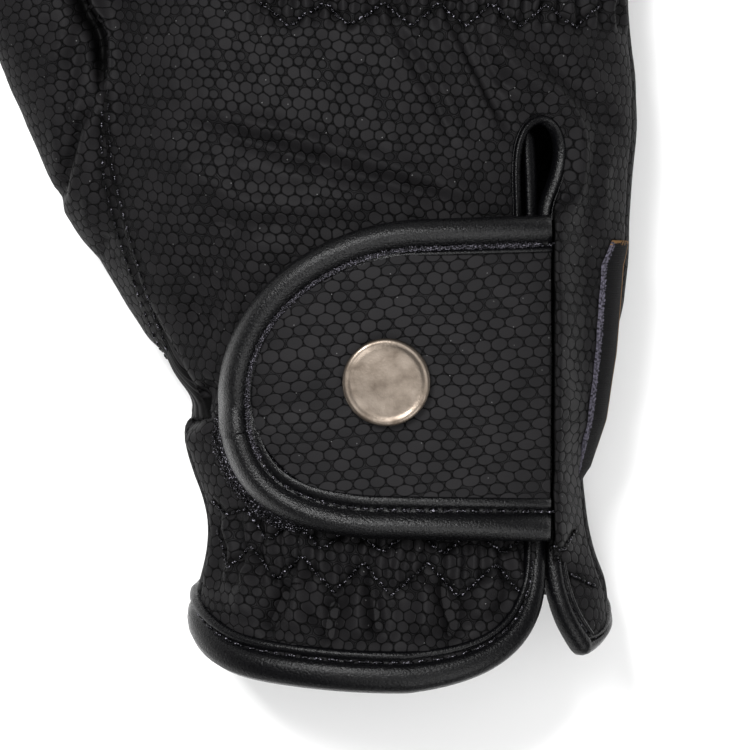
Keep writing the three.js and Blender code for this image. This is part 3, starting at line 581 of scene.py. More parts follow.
# Smooth coated leather, folded and rolled: satin with a fine drawn grain that catches the light
def smoothLeather(name, look):
    material, add = newMaterial(name)
    place = add("ShaderNodeTexCoord").outputs["Object"]
    fine = add("ShaderNodeTexNoise", {"Vector": place, "Scale": look["grainScale"], "Detail": 4.0, "Roughness": 0.65})
    crease = add("ShaderNodeTexVoronoi", {"Vector": place, "Scale": look["creaseScale"]},
                 feature="DISTANCE_TO_EDGE").outputs["Distance"]
    crease = add(calc + "MULTIPLY", [crease, 1.6], use_clamp=True)
    height = add(calc + "ADD", [fine, add(calc + "MULTIPLY", [crease, 0.5])])
    colour = add("ShaderNodeMix", {0: fine, 6: linear(look["dark"]), 7: linear(look["light"])}, data_type="RGBA")
    rough = add("ShaderNodeMapRange", {"Value": fine, "From Min": 0.3, "From Max": 0.7, "To Min": look["roughLow"],
                                       "To Max": look["roughHigh"]})
    finishMaterial(add, colour.outputs[2], rough, height, look["grainDepth"], {"Specular IOR Level": look["specular"]})
    return material


# the grain's scales are about 0.35 and 0.7 mm
bindingLook = {"grainScale": 2900.0, "creaseScale": 1500.0, "grainDepth": 0.075, "dark": "#020203", "light": "#060607",
               "roughLow": 0.22, "roughHigh": 0.36, "specular": 0.12}
strapBindingLook = {**bindingLook, "grainDepth": 0.11, "roughLow": 0.23, "roughHigh": 0.36, "specular": 0.22}
bindingLeather = smoothLeather("smoothBindingLeather", bindingLook)
strapBindingLeather = smoothLeather("smoothStrapBindingLeather", strapBindingLook)


# Polyester sewing thread and nylon pile: dull dark fibre with the odd painted glint, a light fleck in the colour
def fibre(name, look):
    material, add = newMaterial(name)
    place = add("ShaderNodeTexCoord").outputs["Object"]
    noise = add("ShaderNodeTexNoise", {"Vector": place, "Scale": look["scale"], "Detail": 2.0})
    # painted highlight: sparse noise flecks mix in the light colour as glints
    paintedGlint = add(calc + "MULTIPLY_ADD", [noise, 7.0, look["paintedGlint"]], use_clamp=True)
    colour = add("ShaderNodeMix", {0: paintedGlint, 6: linear(look["dark"]), 7: linear(look["light"])}, data_type="RGBA")
    finishMaterial(add, colour.outputs[2], look["rough"], noise, 0.1, {"Specular IOR Level": 0.08}, 0.6)
    return material


# the light colours are painted glints; the rubbed thread's more frequent flecks are partly its own grey-violet fibre,
# partly painted glints
threadLook = {"dark": "#020203", "light": "#a5a2ae", "rough": 0.42, "scale": 4200.0, "paintedGlint": -4.15}
frayedLook = {"dark": "#0a0a0c", "light": "#73707a", "rough": 0.5, "scale": 5200.0, "paintedGlint": -3.5}
pileLook = {"dark": "#030304", "light": "#a3a0ab", "rough": 0.5, "scale": 4200.0, "paintedGlint": -4.2}
threadFinish = fibre("polyesterThread", threadLook)
frayedFinish = fibre("rubbedThread", frayedLook)
pileFinish = fibre("nylonLoopPile", pileLook)


# Antique silver plate on zinc: warm grey metal, darker patina in soft clouds, fine tumbling marks
def antiqueSilver(look):
    material, add = newMaterial("antiqueSilver")
    place = add("ShaderNodeTexCoord").outputs["Object"]
    cloud = add("ShaderNodeTexNoise", {"Vector": place, "Scale": look["patinaScale"], "Detail": 4.0})
    fine = add("ShaderNodeTexNoise", {"Vector": place, "Scale": look["markScale"], "Detail": 3.0})
    clean = add(calc + "MULTIPLY_ADD", [cloud, 1.7, -0.3], use_clamp=True)
    colour = add("ShaderNodeMix", {0: clean, 6: linear(look["patina"]), 7: linear(look["bright"])}, data_type="RGBA")
    rough = add("ShaderNodeMapRange", {"Value": cloud, "From Min": 0.3, "From Max": 0.7, "To Min": look["roughHigh"],
                                       "To Max": look["roughLow"]})
    height = add(calc + "ADD", [fine, cloud])
    finishMaterial(add, colour.outputs[2], rough, height, 0.06, {"Metallic": 1.0}, 0.5)
    return material


silverLook = {"patina": "#40372f", "bright": "#857b71", "patinaScale": 330.0, "markScale": 2600.0, "roughLow": 0.3,
              "roughHigh": 0.5}
silverFinish = antiqueSilver(silverLook)


# Woven damask tape: fine ribs of polyester, grey-violet selvedge and a gold edge thread
def wovenTape(look):
    material, add = newMaterial("wovenTape")
    grain = add("ShaderNodeAttribute", attribute_name="grain").outputs["Vector"]
    across, along, _ = add("ShaderNodeSeparateXYZ", [grain]).outputs
    threads = [add("ShaderNodeTexWave", {"Vector": grain, "Scale": scale, "Distortion": distortion}, wave_type="BANDS",
                   bands_direction=way).outputs[1] for scale, distortion, way in ((1.1, 0.6, "Y"), (1.6, 0.4, "X"))]
    mottle = add("ShaderNodeTexNoise", {"Vector": grain, "Scale": 2.2, "Detail": 2.0})
    edge = add(calc + "LESS_THAN", [across, add(calc + "MULTIPLY_ADD", [mottle, 1.0, 0.4])])
    edge = add(calc + "MULTIPLY", [edge, add(calc + "MULTIPLY_ADD", [mottle, 3.0, -1.0], use_clamp=True)])
    cutEnd = add(calc + "GREATER_THAN", [along, add(calc + "MULTIPLY_ADD", [mottle, -2.6, 22.7])])
    gold = add(calc + "MAXIMUM", [add(calc + "GREATER_THAN", [across, 6.1]), cutEnd])
    colour = linear(look["face"])
    for factor, key in ((edge, "selvedge"), (gold, "gold")):
        colour = add("ShaderNodeMix", {0: factor, 6: colour, 7: linear(look[key])}, data_type="RGBA").outputs[2]
    finishMaterial(add, colour, 0.7, add(calc + "ADD", threads), 0.12, {"Specular IOR Level": 0.06}, 0.7)
    return material


tapeLook = {"face": "#040405", "selvedge": "#5a5763", "gold": "#6a4f30"}
tapeFinish = wovenTape(tapeLook)
print("materials made")


# Outlines of the vent slit and the strap
# footX to tailX in mm; the end is the slit's round top
slit = {"footX": 23.6, "footY": -30.0, "footGap": 1.4, "cornerReach": 22.0, "cornerRise": 15.0, "tailX": 29.8,
        "end": [(18.9, 27.5), (18.7, 33), (19.0, 36.8), (20.2, 40), (22.7, 41.9), (24.9, 40.4), (26.0, 37.4),
                (25.8, 33.8), (24.7, 30.6), (23.3, 27.5)]}
strap = {"rootX": 24.2, "topY": 25.7, "footY": -26.8, "tipX": -29.3, "tipY": -4.0, "lift": 2.1, "thickness": 2.4}


def hemOver(x):
    return -hand["cuffReach"] - dropAt(backAngle(x, np.array(0.0)), np.array(0.0))


def slitLine(grow=0.0):
    # left corner of the cuff, up the slit, round its end, and down to the pointed corner
    left, right = slit["footX"] - slit["footGap"] / 2 - grow, slit["footX"] + slit["footGap"] / 2 + grow
    start = left + grow - slit["cornerReach"]
    hemY = float(hemOver(start))
    corner = bezier([(start, hemY), (left + grow - slit["cornerReach"] * 0.5, hemY + 1.2),
                     (left, hemY + slit["cornerRise"] * 0.3), (left, hemY + slit["cornerRise"] + 3)], 24)
    end = resample(rounded(slit["end"], 4), 0.5)
    tip = (slit["tailX"], float(hemOver(slit["tailX"])))
    tail = bezier([(right, slit["footY"]), (right + 0.4, slit["footY"] - 9), tip], 12)
    up = rounded([corner[-1], (left - 0.25, slit["footY"] + 12), (left - 1.4, 5), end[0] + (0.2, -8), end[0]])
    down = rounded([end[-1], end[-1] + (-0.4, -8), (right - 0.3, 5), (right, slit["footY"] + 14), tail[0]])
    return corner, up, end, down, tail


def strapLine(inset, step=0.8):
    top, foot, tip = strap["topY"] - inset, strap["footY"] + inset, strap["tipX"] + inset
    upper = bezier([(4, top - 0.8), (-13.8 + inset, top - 1), (tip, 12), (tip, strap["tipY"])], 60)
    lower = bezier([(tip, strap["tipY"]), (tip, -18.5 + inset), (-21 + inset, foot + 1.3), (-4, foot + 0.5)], 60)
    line = np.vstack([[(strap["rootX"], top)], upper, lower[1:], [(strap["rootX"], foot)]])
    return resample(line, step)


# Relief of the back: folds, ruffles and seams, as heights over the plain form
# line of points, height in mm (below 0 a valley), half width in mm
folds = [
    ([(-31, 41.4), (-22.6, 39.8), (-11.7, 36.5), (-2.9, 33.8), (6.9, 30.6), (16, 27.5)], 1.5, 1.9),
    ([(-33.4, 40.2), (-26.9, 38.7), (-17.1, 35.5), (-7.2, 32.2), (1.4, 30.1), (10.2, 27.5)], -1.6, 1.5),
    ([(-38.9, 37.1), (-32.3, 31.7), (-25.8, 27.8), (-19.2, 26.1), (-11.2, 27.5), (0, 28.8)], 1.0, 2.0),
    ([(-33, 25), (-26, 23), (-16, 25.4)], -1.1, 1.8),
    ([(-29.6, 25), (-31.0, 16), (-32.6, 6)], -2.6, 3.6),
    ([(-36, 33), (-30, 34.5), (-20, 32.2), (-8, 29.9)], 0.5, 1.4),
    ([(-2.9, 58.4), (-1, 53), (1.4, 49.4)], 0.7, 0.9),
    ([(-1.6, 57.3), (2.2, 50.3), (6, 44), (8.1, 38)], -1.2, 1.0),
    ([(0.5, 57), (4.6, 50), (8.4, 42), (11.6, 34)], 0.4, 1.2),
    ([(5.6, 58.2), (9.3, 51.7), (12.9, 44.5), (15.9, 38)], 1.1, 1.2),
    ([(8.6, 57.6), (11.2, 51.6), (14, 46), (17.4, 39.8)], -1.3, 1.1),
    ([(12.6, 57), (14.2, 50), (18, 45.4)], -1.1, 0.9),
    ([(14.2, 57.4), (15.9, 52), (18.9, 48.4), (23.2, 46.4), (27.0, 42.6), (28.8, 38.2), (28.6, 32), (27.4, 26)],
     2.1, 1.7),
    ([(18.4, 56), (22.4, 52.4), (27.4, 48.4), (32, 43), (34.6, 38.4)], -1.2, 1.6),
    ([(25.6, 57), (29.4, 49.6), (33.6, 43.8)], 0.6, 1.7),
    ([(33.6, 37), (32.4, 31), (33, 24)], 0.7, 1.4),
    # beside the thumb's seam and at the wrist's notch
    ([(-36.6, -8.6), (-33, -5.4), (-29.6, -1)], -1.6, 1.6),
    ([(-35.4, -11.4), (-32.6, -10), (-29.8, -8.6)], 0.9, 1.4),
    # below the lower zigzag: bellies and the valleys between them
    ([(-23.8, -30.4), (-25.2, -40)], 2.2, 2.4),
    ([(-15.7, -30.6), (-16.8, -42)], 2.7, 2.1),
    ([(-5.8, -32), (-6.8, -43.5)], 2.7, 2.2),
    ([(4.5, -32), (3.8, -43)], 2.7, 2.2),
    ([(14.4, -32), (12.4, -40.5)], 2.2, 2.2),
    ([(-18, -33.8), (-21.6, -41)], -3.2, 1.1),
    ([(-14, -37), (-13, -40.6)], -0.9, 0.9),
    ([(-8.6, -33), (-9.4, -38)], -0.8, 0.9),
    ([(-4.8, -33), (-3.4, -41.6)], -3.2, 1.1),
    ([(-10.6, -35.4), (-11.8, -43)], -2.8, 1.2),
    ([(-1, -36), (-2, -43.6)], -0.7, 1.0),
    ([(6.4, -32.6), (8.4, -39)], -3.0, 1.1),
    ([(9.6, -36), (8, -42.4)], -2.6, 1.1),
    ([(18.6, -34.2), (15.6, -38.2), (8.4, -41.4)], -0.7, 1.0),
]
thumbFolds = [
    ([(-51, 60.3), (-54, 45.3), (-54.9, 37)], -1.2, 1.3),
    ([(-56.5, 50.3), (-53.2, 55.4)], 0.9, 1.6),
    ([(-60, 52.6), (-56.4, 57.6)], -0.8, 1.2),
    ([(-53.6, 43.8), (-52.4, 40)], 0.8, 1.5),
    ([(-50.9, 42), (-50, 32), (-51, 25)], 0.9, 1.4),
    ([(-56, 43), (-55.2, 34)], 0.5, 1.2),
    ([(-47.6, 23), (-48.6, 19.4)], -0.6, 1.1),
    ([(-50.2, 44.6), (-53.8, 36), (-55.6, 28)], -1.8, 0.9),
    ([(-48.9, 42.6), (-51.8, 35), (-53.4, 27)], 0.9, 1.2),
]
# the back's edge stands over a deep fold beside the thumb
crevice = {"line": [(-48.6, 43.4), (-48.2, 50.2), (-48.6, 55.5), (-51.2, 60), (-54, 67)], "depth": 6.0,
           "width": (0.48, 0.9)}
zigzags = {
    # corner points across; rows along and depth of the sewn groove
    "cuffLower": [(-29.4, -25.6), (-27.7, -31.2), (-24, -27.7), (-19.8, -33), (-15.7, -29.1), (-10.7, -34.9),
                  (-5.8, -30.2), (-1.4, -35.4), (4.5, -30.2), (9.6, -35.7), (15.4, -30.4), (19, -34.6)],
    "cuffUpper": [(-30.1, -20.6), (-28.2, -22.6), (-24.8, -21.6), (-21.4, -26.6), (-17, -23.6), (-12.6, -28),
                  (-8, -24.4), (-2.9, -28.5), (2.4, -24.6), (7, -28.8), (12, -24.8), (16.5, -28.8), (21, -25)],
    "knuckleLower": [(-22.2, 59.7), (-17.8, 56), (-12.2, 59.7), (-8, 56), (-2.6, 59.7), (1.9, 56), (6.2, 59.7),
                     (10.7, 56), (14.6, 59.7), (19.5, 56), (23.4, 59.7), (28.5, 56), (32, 59.7)],
    "knuckleUpper": [(-22.2, 67), (-17.8, 63.2), (-12.2, 67), (-8, 63.2), (-2.6, 67), (1.9, 63.2), (6.2, 67),
                     (10.7, 63.2), (14.6, 67), (19.5, 63.2), (23.4, 67), (28.5, 63.2), (32, 67)],
    "tailUpper": [(25, -27.4), (26.2, -28.2), (28.3, -25.3)],
    "tailLower": [(25.3, -29.3), (26.7, -31.8), (31.4, -34.1)],
}
thumbRows = [
    [(-48.2, 42.4), (-48.3, 33.4), (-45.9, 23.5), (-44.8, 20), (-43.2, 15.4), (-41.7, 11), (-39.9, 6.1), (-38.3, 3)],
    [(-47.2, 45.6), (-46.8, 34.9), (-44.5, 25.4), (-43, 20), (-41.6, 15.4), (-40.5, 11.8), (-39.2, 8.2), (-37.9, 4.4)],
]
# bands across the back where elastic gathers the leather: from, full, full, to
ruffles = {"height": 0.78, "pitch": 3.1, "cuff": (-36, -32, -25, -21), "knuckles": (55, 58, 66, 70)}
sewnIn = {"depth": 0.5, "width": 0.55}
# the edge folded up over the strap's root
roll = {"height": 6.0, "width": 5.4, "start": 24.45, "flank": 0.35, "from": -31.0, "to": 32.0}
rollProfile = np.array([(0.0, 0.74), (0.1, 0.95), (0.26, 1.0), (0.5, 0.74), (0.75, 0.3), (1.0, 0.0)])


def wrinkle(x, y, seed):
    # a gentle unevenness without a pattern, between about -1 and 1
    total = 0.0
    for k in range(6):
        turn = seed * 1.7 + k * 2.399
        along = x * math.cos(turn) + y * math.sin(turn)
        total = total + np.sin(along * (0.35 + 0.13 * k) + seed + k * k)
    return total / 3.2


def foldHeight(x, y, rows):
    height = np.zeros(np.shape(x))
    for line, depth, width in rows:
        away, share, _ = polylineDistance(x, y, rounded(line, 2))
        ends = smoothStep(-0.02, 0.22, share) * (1 - smoothStep(0.78, 1.02, share))
        height += depth * np.exp(-(away / width) ** 2) * (0.25 + 0.75 * ends)
    return height


def relief(x, y, angle):
    height = foldHeight(x, y, folds)
    ruffle = np.cos(2 * np.pi * (x + 0.35 * wrinkle(x, y, 3)) / ruffles["pitch"] + 1.3 * wrinkle(x * 0.6, y * 0.3, 5))
    inBand = [smoothStep(a, b, y) * (1 - smoothStep(c, d, y)) for a, b, c, d in (ruffles["cuff"], ruffles["knuckles"])]
    inBand = inBand[0] * (1 - smoothStep(22, 26, x)) + inBand[1] * smoothStep(-26, -22, x)
    height += ruffles["height"] * ruffle * inBand
    height += 0.12 * wrinkle(x * 1.6, y * 1.6, 8)
    for line in zigzags.values():
        away, _, _ = polylineDistance(x, y, line)
        height -= sewnIn["depth"] * np.exp(-(away / sewnIn["width"]) ** 2)
    return height * smoothStep(0.0, 0.35, np.sin(angle))


def rollRise(x, y):
    aside = smoothStep(strap["topY"] - 0.5, roll["to"] - 3, y)  # it passes beside the slit's lip
    fromEdge = x - roll["start"] - 1.7 * aside
    shape = np.interp(fromEdge / roll["width"], rollProfile[:, 0], rollProfile[:, 1], left=0, right=0)
    flank = np.clip(fromEdge / (roll["flank"] + 1.5 * aside), 0, 1)
    along = smoothStep(roll["from"] - 1, strap["footY"] + 1, y) * (1 - smoothStep(strap["topY"] - 2, roll["to"], y))
    return roll["height"] * shape * flank * along


# The skin: hand, fingers and thumb as one surface
def handRings():
    turn = np.linspace(0, 2 * np.pi, 96, endpoint=False)
    rows = np.concatenate([[0, 1.5], np.arange(3, hand["bodyLength"] - 1, 2.5), [hand["bodyLength"]]])
    rings = [formPoint(turn, np.full(turn.shape, d)) for d in rows]
    first = rings[0].copy()
    first[:, 1] -= 8
    rings.insert(0, first)
    _, centre, _, side = sectionAt(np.array(hand["bodyLength"]))
    end = rings[-1]
    for share in (0.25, 0.5, 0.7, 0.85, 0.95, 0.99):
        shrink = math.sqrt(1 - share * share)
        rings.append(np.stack([centre + (end[:, 0] - centre) * (0.55 + 0.45 * shrink),
                               end[:, 1] + share * hand["noseLength"],
                               side * 0.8 + (end[:, 2] - side * 0.8) * shrink], -1))
    return rings


def digitRings(line, width, height, form):
    path = resample(rounded(line, 4), 1.0) if len(line) > 2 else resample(line, 1.0)
    steps = np.unique(np.concatenate([np.linspace(0, 0.9, 46), np.linspace(0.9, 1, 14)]))
    along = np.linspace(0, 1, len(path))
    turn = np.linspace(0, 2 * np.pi, 40, endpoint=False)
    rings = []
    for at in steps:
        middle = np.array([np.interp(at, along, path[:, k]) for k in range(2)])
        near = min(at + 0.01, 1), max(at - 0.01, 0)
        ahead = np.array([-np.diff(np.interp(near, along, path[:, k]))[0] for k in range(2)])
        ahead /= np.linalg.norm(ahead)
        half, tall = width * column(form, 1, at) / 2, height * column(form, 2, at) / 2
        rise = tall * np.sin(turn)
        middleHeight = tall + max(0, 0.28 * (height / 2 - tall))
        z = np.maximum(0, middleHeight + rise * np.where(rise < 0, hand["solePress"], 1))
        aside = half * np.cos(turn)
        rings.append(np.stack([middle[0] + ahead[1] * aside, middle[1] - ahead[0] * aside, z], -1))
    return rings, path


def fingerEnds(row):
    return np.array([(row[0] * hand["palmWidth"], fingers["root"]),
                     (row[1] * hand["palmWidth"], row[2] * hand["bodyLength"])])


# triangles are halved where the photo shows the skin, except below the strap, in mm
finer = {"toY": 61, "overSeam": 1.5, "strapMiddle": (1.5, -1), "strapHalf": (21, 19)}
backZ = 20  # all above it is the back of the hand
parts = [loft(handRings())]
for row in fingerRows.values():
    rings, _ = digitRings(fingerEnds(row), row[3] * hand["palmWidth"], row[4] * fingers["height"], fingerForm)
    parts.append(loft(rings))
thumbRun = thumbLine * (hand["palmWidth"], hand["bodyLength"])
rings, thumbPath = digitRings(thumbRun, thumb["width"], thumb["height"], thumbForm)
parts.append(loft(rings))
allPoints, allFaces = [], []
for points, faces in parts:
    start = sum(len(p) for p in allPoints)
    allPoints.append(points)
    allFaces += [tuple(i + start for i in f) for f in faces]
rough = addObject("rough", makeMesh("rough", np.concatenate(allPoints), allFaces))
remesh = rough.modifiers.new("remesh", "REMESH")
remesh.mode, remesh.voxel_size = "VOXEL", hand["voxel"] * mm
even = rough.modifiers.new("even", "SMOOTH")
even.factor, even.iterations = 0.5, 8
rough.modifiers.new("triangles", "TRIANGULATE")
mesh = evaluated(rough)
bpy.data.objects.remove(rough)
skin = np.empty(len(mesh.vertices) * 3)
mesh.vertices.foreach_get("co", skin)
skin = skin.reshape(-1, 3) / mm
tris = np.empty(len(mesh.polygons) * 3, np.int64)
mesh.polygons.foreach_get("vertices", tris)
tris = tris.reshape(-1, 3)
print("skin remeshed:", len(tris), "triangles")

middle = skin[tris].mean(1)
inPhoto = (middle[:, 1] < finer["toY"]) & (middle[:, 2] > seamHeight(middle[:, 1]) + finer["overSeam"])
aside = np.abs(middle - (*finer["strapMiddle"], 0))
underStrap = (middle[:, 2] > backZ) & (aside[:, 0] < finer["strapHalf"][0]) & (aside[:, 1] < finer["strapHalf"][1])
skin, tris = refine(skin, tris, inPhoto & ~underStrap)
skin = relax(skin, tris, 3)
skin = skin + vertexNormals(skin, tris) * hand["regrow"] * smoothStep(0, 2.5, skin[:, 2:])
print("skin refined:", len(tris), "triangles")


def seamX(y):
    rows = thumbSeam[:, ::-1] * (hand["bodyLength"], hand["palmWidth"])
    return column(rows, 1, y)


def thumbField(p):
    # above 0 on the thumb's panel
    low, high = thumbSeam[0, 1] * hand["bodyLength"], thumbSeam[-1, 1] * hand["bodyLength"]
    return np.minimum(np.minimum(seamX(p[:, 1]) - p[:, 0], p[:, 1] - low), high - p[:, 1])


def slitOutline():
    corner, up, end, down, tail = slitLine()
    below = -70.0
    return np.vstack([corner, up[1:], end[1:], down[1:], tail[1:], [(tail[-1, 0], below), (corner[0, 0], below)]])


def insideOutline(x, y, outline):
    inside = np.zeros(x.shape, bool)
    for (ax, ay), (bx, by) in zip(outline, np.roll(outline, -1, axis=0)):
        crosses = (ay > y) != (by > y)
        with np.errstate(divide="ignore", invalid="ignore"):
            inside ^= crosses & (x < (bx - ax) * (y - ay) / (by - ay) + ax)
    return inside


def slitField(p):
    # below 0 inside the slit
    outline = slitOutline()
    near = (np.abs(p[:, 0] - 16) < 18) & (p[:, 1] < 46) & (p[:, 2] > backZ)
    field = np.full(len(p), 5.0)
    q = p[near]
    away, _, _ = polylineDistance(q[:, 0], q[:, 1], outline[:-2])
    field[near] = np.where(insideOutline(q[:, 0], q[:, 1], outline), -away, away)
    return field


def hemField(p):
    _, distance = onForm(p)
    return np.where(p[:, 1] < -10, distance, 10.0)


forkRows = list(fingerRows.values())
band = {"width": 8.5, "start": 85.0, "inset": 2.5}


def forkField(p, first, second):
    # above 0 on the strip between two fingers
    lines = []
    for row, aside in ((first, band["inset"]), (second, -band["inset"])):
        root, tip = fingerEnds(row)
        lines.append(root[0] + (tip[0] - root[0]) / (tip[1] - root[1]) * (p[:, 1] - root[1]) + aside)
    flat = band["width"] / 2 - np.abs(p[:, 2] - seamHeight(p[:, 1]))
    return np.minimum.reduce([flat, p[:, 1] - band["start"], p[:, 0] - lines[0], lines[1] - p[:, 0]])


skin, tris, keep = cutAlong(skin, tris, hemField(skin))
tris = tris[keep]
skin, tris, keep = cutAlong(skin, tris, slitField(skin))
tris = tris[keep]
for x in (roll["start"], roll["start"] + roll["flank"]):
    near = (skin[:, 2] > 18) & (np.abs(skin[:, 1] - 2.5) < 36)
    skin, tris, _ = cutAlong(skin, tris, np.where(near, skin[:, 0] - x, 5.0))
skin, tris, onThumb = cutAlong(skin, tris, thumbField(skin))
panelOf = {}
thumbTris, rest = tris[onThumb], tris[~onThumb]
panelOf["thumb_panel"] = thumbTris
for name, first, second in (("index_middle", 0, 1), ("middle_ring", 1, 2), ("ring_little", 2, 3)):
    skin, rest, inBand = cutAlong(skin, rest, forkField(skin, forkRows[first], forkRows[second]))
    panelOf["fourchette_" + name] = rest[inBand]
    rest = rest[~inBand]
skin, rest, above = cutAlong(skin, rest, skin[:, 2] - seamHeight(skin[:, 1]))
panelOf["back_panel"], panelOf["palm_panel"] = rest[above], rest[~above]
whole = np.concatenate(list(panelOf.values()))
normals = vertexNormals(skin, whole)
angle, distance = onForm(skin)
print("skin cut into", len(panelOf), "panels")

# grain coordinates in mm: arc across, length along, so that pebbles keep their size round the sides
turns = np.linspace(-np.pi / 2, 1.5 * np.pi, 361)
arcRows = np.linspace(0, hand["bodyLength"], 40)
arcs = []
for d in arcRows:
    line = formPoint(turns, np.full(turns.shape, d))
    length = lengthsAlong(line[:, [0, 2]])
    arcs.append(length[180] - length)
arcs = np.array(arcs)


def handGrain(p, angle, distance):
    turn = np.where(angle < -np.pi / 2, angle + 2 * np.pi, angle)
    column = np.clip((turn + np.pi / 2) / (2 * np.pi) * 360, 0, 359.999)
    row = np.clip(distance / hand["bodyLength"] * 39, 0, 38.999)
    c, r = column.astype(int), row.astype(int)
    u, v = column - c, row - r
    arc, after = (arcs[k, c] * (1 - u) + arcs[k, c + 1] * u for k in (r, r + 1))
    arc = arc * (1 - v) + after * v
    flat = p[:, 0] + np.where(p[:, 2] < seamHeight(p[:, 1]), 200, 0)
    far = smoothStep(78, 92, p[:, 1])
    return np.stack([arc * (1 - far) + flat * far, p[:, 1], np.zeros(len(p))], -1)


def thumbGrain(p):
    away, share, side = polylineDistance(p[:, 0], p[:, 1], thumbPath)
    half = thumb["width"] * column(thumbForm, 1, share) / 2
    tall = thumb["height"] * column(thumbForm, 2, share) / 2
    turn = np.arctan2(away * -side / half, (p[:, 2] - tall) / tall)
    length = lengthsAlong(thumbPath)[-1]
    return np.stack([turn * (half + tall) / 2, share * length, np.zeros(len(p))], -1)


# painted shade: the leather's colour darkens along the stitched rows, where the sewn grooves hold shade
paintedShade = np.zeros(len(skin))
for line in [*zigzags.values(), *thumbRows]:
    near = (skin[:, 2] > 12) & (skin[:, 1] < 72)
    away, _, _ = polylineDistance(skin[near, 0], skin[near, 1], line)
    paintedShade[near] = np.maximum(paintedShade[near], 0.9 * np.exp(-(away / 0.6) ** 2))
# painted shadow in the dark line where the rolled edge overhangs the strap's end
besideRoll = (np.abs(skin[:, 1]) < 28) & (skin[:, 2] > 18)
paintedShade = np.maximum(paintedShade, 0.95 * np.exp(-((skin[:, 0] - roll["start"] - 0.2) / 0.45) ** 2) * besideRoll)

grain = handGrain(skin, angle, distance)
grainThumb = thumbGrain(skin)

onBack = (skin[:, 2] > seamHeight(skin[:, 1]) - 3) & (skin[:, 1] < 72)
inner = skin - normals * hand["wall"]
height = np.zeros(len(skin))
height[onBack] = relief(skin[onBack, 0], skin[onBack, 1], angle[onBack]) * (1 - smoothStep(66, 70, skin[onBack, 1]))
thumbSide = thumbField(skin)
onThumbSide = thumbSide > 0
height[onThumbSide] = foldHeight(skin[onThumbSide, 0], skin[onThumbSide, 1], thumbFolds)
height += 0.1 * wrinkle(skin[:, 0], skin[:, 1], 11)
# seams are drawn in: a narrow groove beside each panel's edge
seamGap = np.abs(skin[:, 2] - seamHeight(skin[:, 1]))
height -= 0.55 * np.exp(-(seamGap / 0.8) ** 2) * (thumbSide < 0)
lip = smoothStep(-0.25, 0.1, -thumbSide) * np.exp(-np.maximum(-thumbSide, 0) / 1.6) * onBack
height += (0.5 + 1.1 * smoothStep(36, 48, skin[:, 1])) * lip
height -= 0.45 * np.exp(-(np.abs(thumbSide) / 0.5) ** 2)
raised = skin + normals * height[:, None]
away, share, _ = polylineDistance(skin[:, 0], skin[:, 1], rounded(crevice["line"], 2))
dip = np.exp(-(away / (crevice["width"][0] + crevice["width"][1] * smoothStep(0, 0.6, share))) ** 2)
dip = dip * smoothStep(0, 0.4, share) * (thumbSide > -0.01) * (skin[:, 2] > 8)
for side in (raised, inner):
    side[:, 2] -= crevice["depth"] * dip * onThumbSide
# painted shade down the crevice beside the thumb, where the back's edge overhangs
paintedShade = np.maximum(paintedShade, np.minimum(1.2 * dip, 0.9))
rise = np.where(skin[:, 2] > 18, rollRise(skin[:, 0], skin[:, 1]), 0)
raised[:, 2] += rise
raised[:, 2] = np.maximum(raised[:, 2], 0.05)  # pressed flat where it rests
inner[:, 2] = np.maximum(inner[:, 2], 0.5)

skinTree = BVHTree.FromPolygons(raised.tolist(), whole.tolist())


def drape(x, y, lift=0.0):
    # points on the finished skin, straight below x and y
    out = []
    for a, b in zip(np.atleast_1d(x), np.atleast_1d(y)):
        hit, normal, _, _ = skinTree.ray_cast(Vector((float(a), float(b), 80.0)), Vector((0, 0, -1)))
        out.append((*(hit + normal * lift),) if hit else (float(a), float(b), 10.0))
    return np.array(out)


for name, panel in panelOf.items():
    points, faces, used = walled(raised, inner, panel)
    chosen = (grainThumb if name == "thumb_panel" else grain)[used]
    makePiece(name + "_skin", points, faces, backLeather, [name],
              grain=np.vstack([chosen, chosen]), paintedShade=np.concatenate([paintedShade[used], paintedShade[used] * 0]))


# Bound edge: one strip folded over the hem and on round the slit
hemBinding = {
    "step": 0.8,
    # share of the way, and width there in mm
    "slitWidths": ([0, 0.1, 0.17, 0.3, 0.42, 0.6, 0.72, 0.88, 0.93, 1.0],
                   [5.6, 4.4, 3.2, 2.6, 1.15, 1.15, 1.4, 1.9, 2.8, 3.6]),
    "hemWidths": ([0, 0.012, 0.04, 0.1, 0.2, 1.0], [3.6, 2.2, 1.4, 1.6, 5.6, 5.6]),
    "thickness": ([1.1, 3.0, 5.6], [0.62, 0.9, 1.0]),  # share of the full strip's, by width
    "turnedUnder": 3.4,  # least width that the roll outside the edge is taken from
    "stitched": 1.7,  # least width with a sewn row
}
# into the leather as a share of the width, up in mm; outside leg first, then round the edge and inside
foldedStrip = np.array([
    (1.0, 0.0), (0.99, 0.6), (0.93, 1.0), (0.84, 1.15), (0.77, 0.9), (0.71, 0.2), (0.64, 0.2), (0.585, 0.9),
    (0.46, 1.32), (0.26, 1.42), (0.04, 1.2), (-0.14, 0.55), (-0.21, -0.5), (-0.18, -1.6), (-0.05, -2.4),
    (0.2, -2.8), (0.6, -2.85), (0.9, -2.6), (0.97, -1.9), (0.97, -1.0),
])


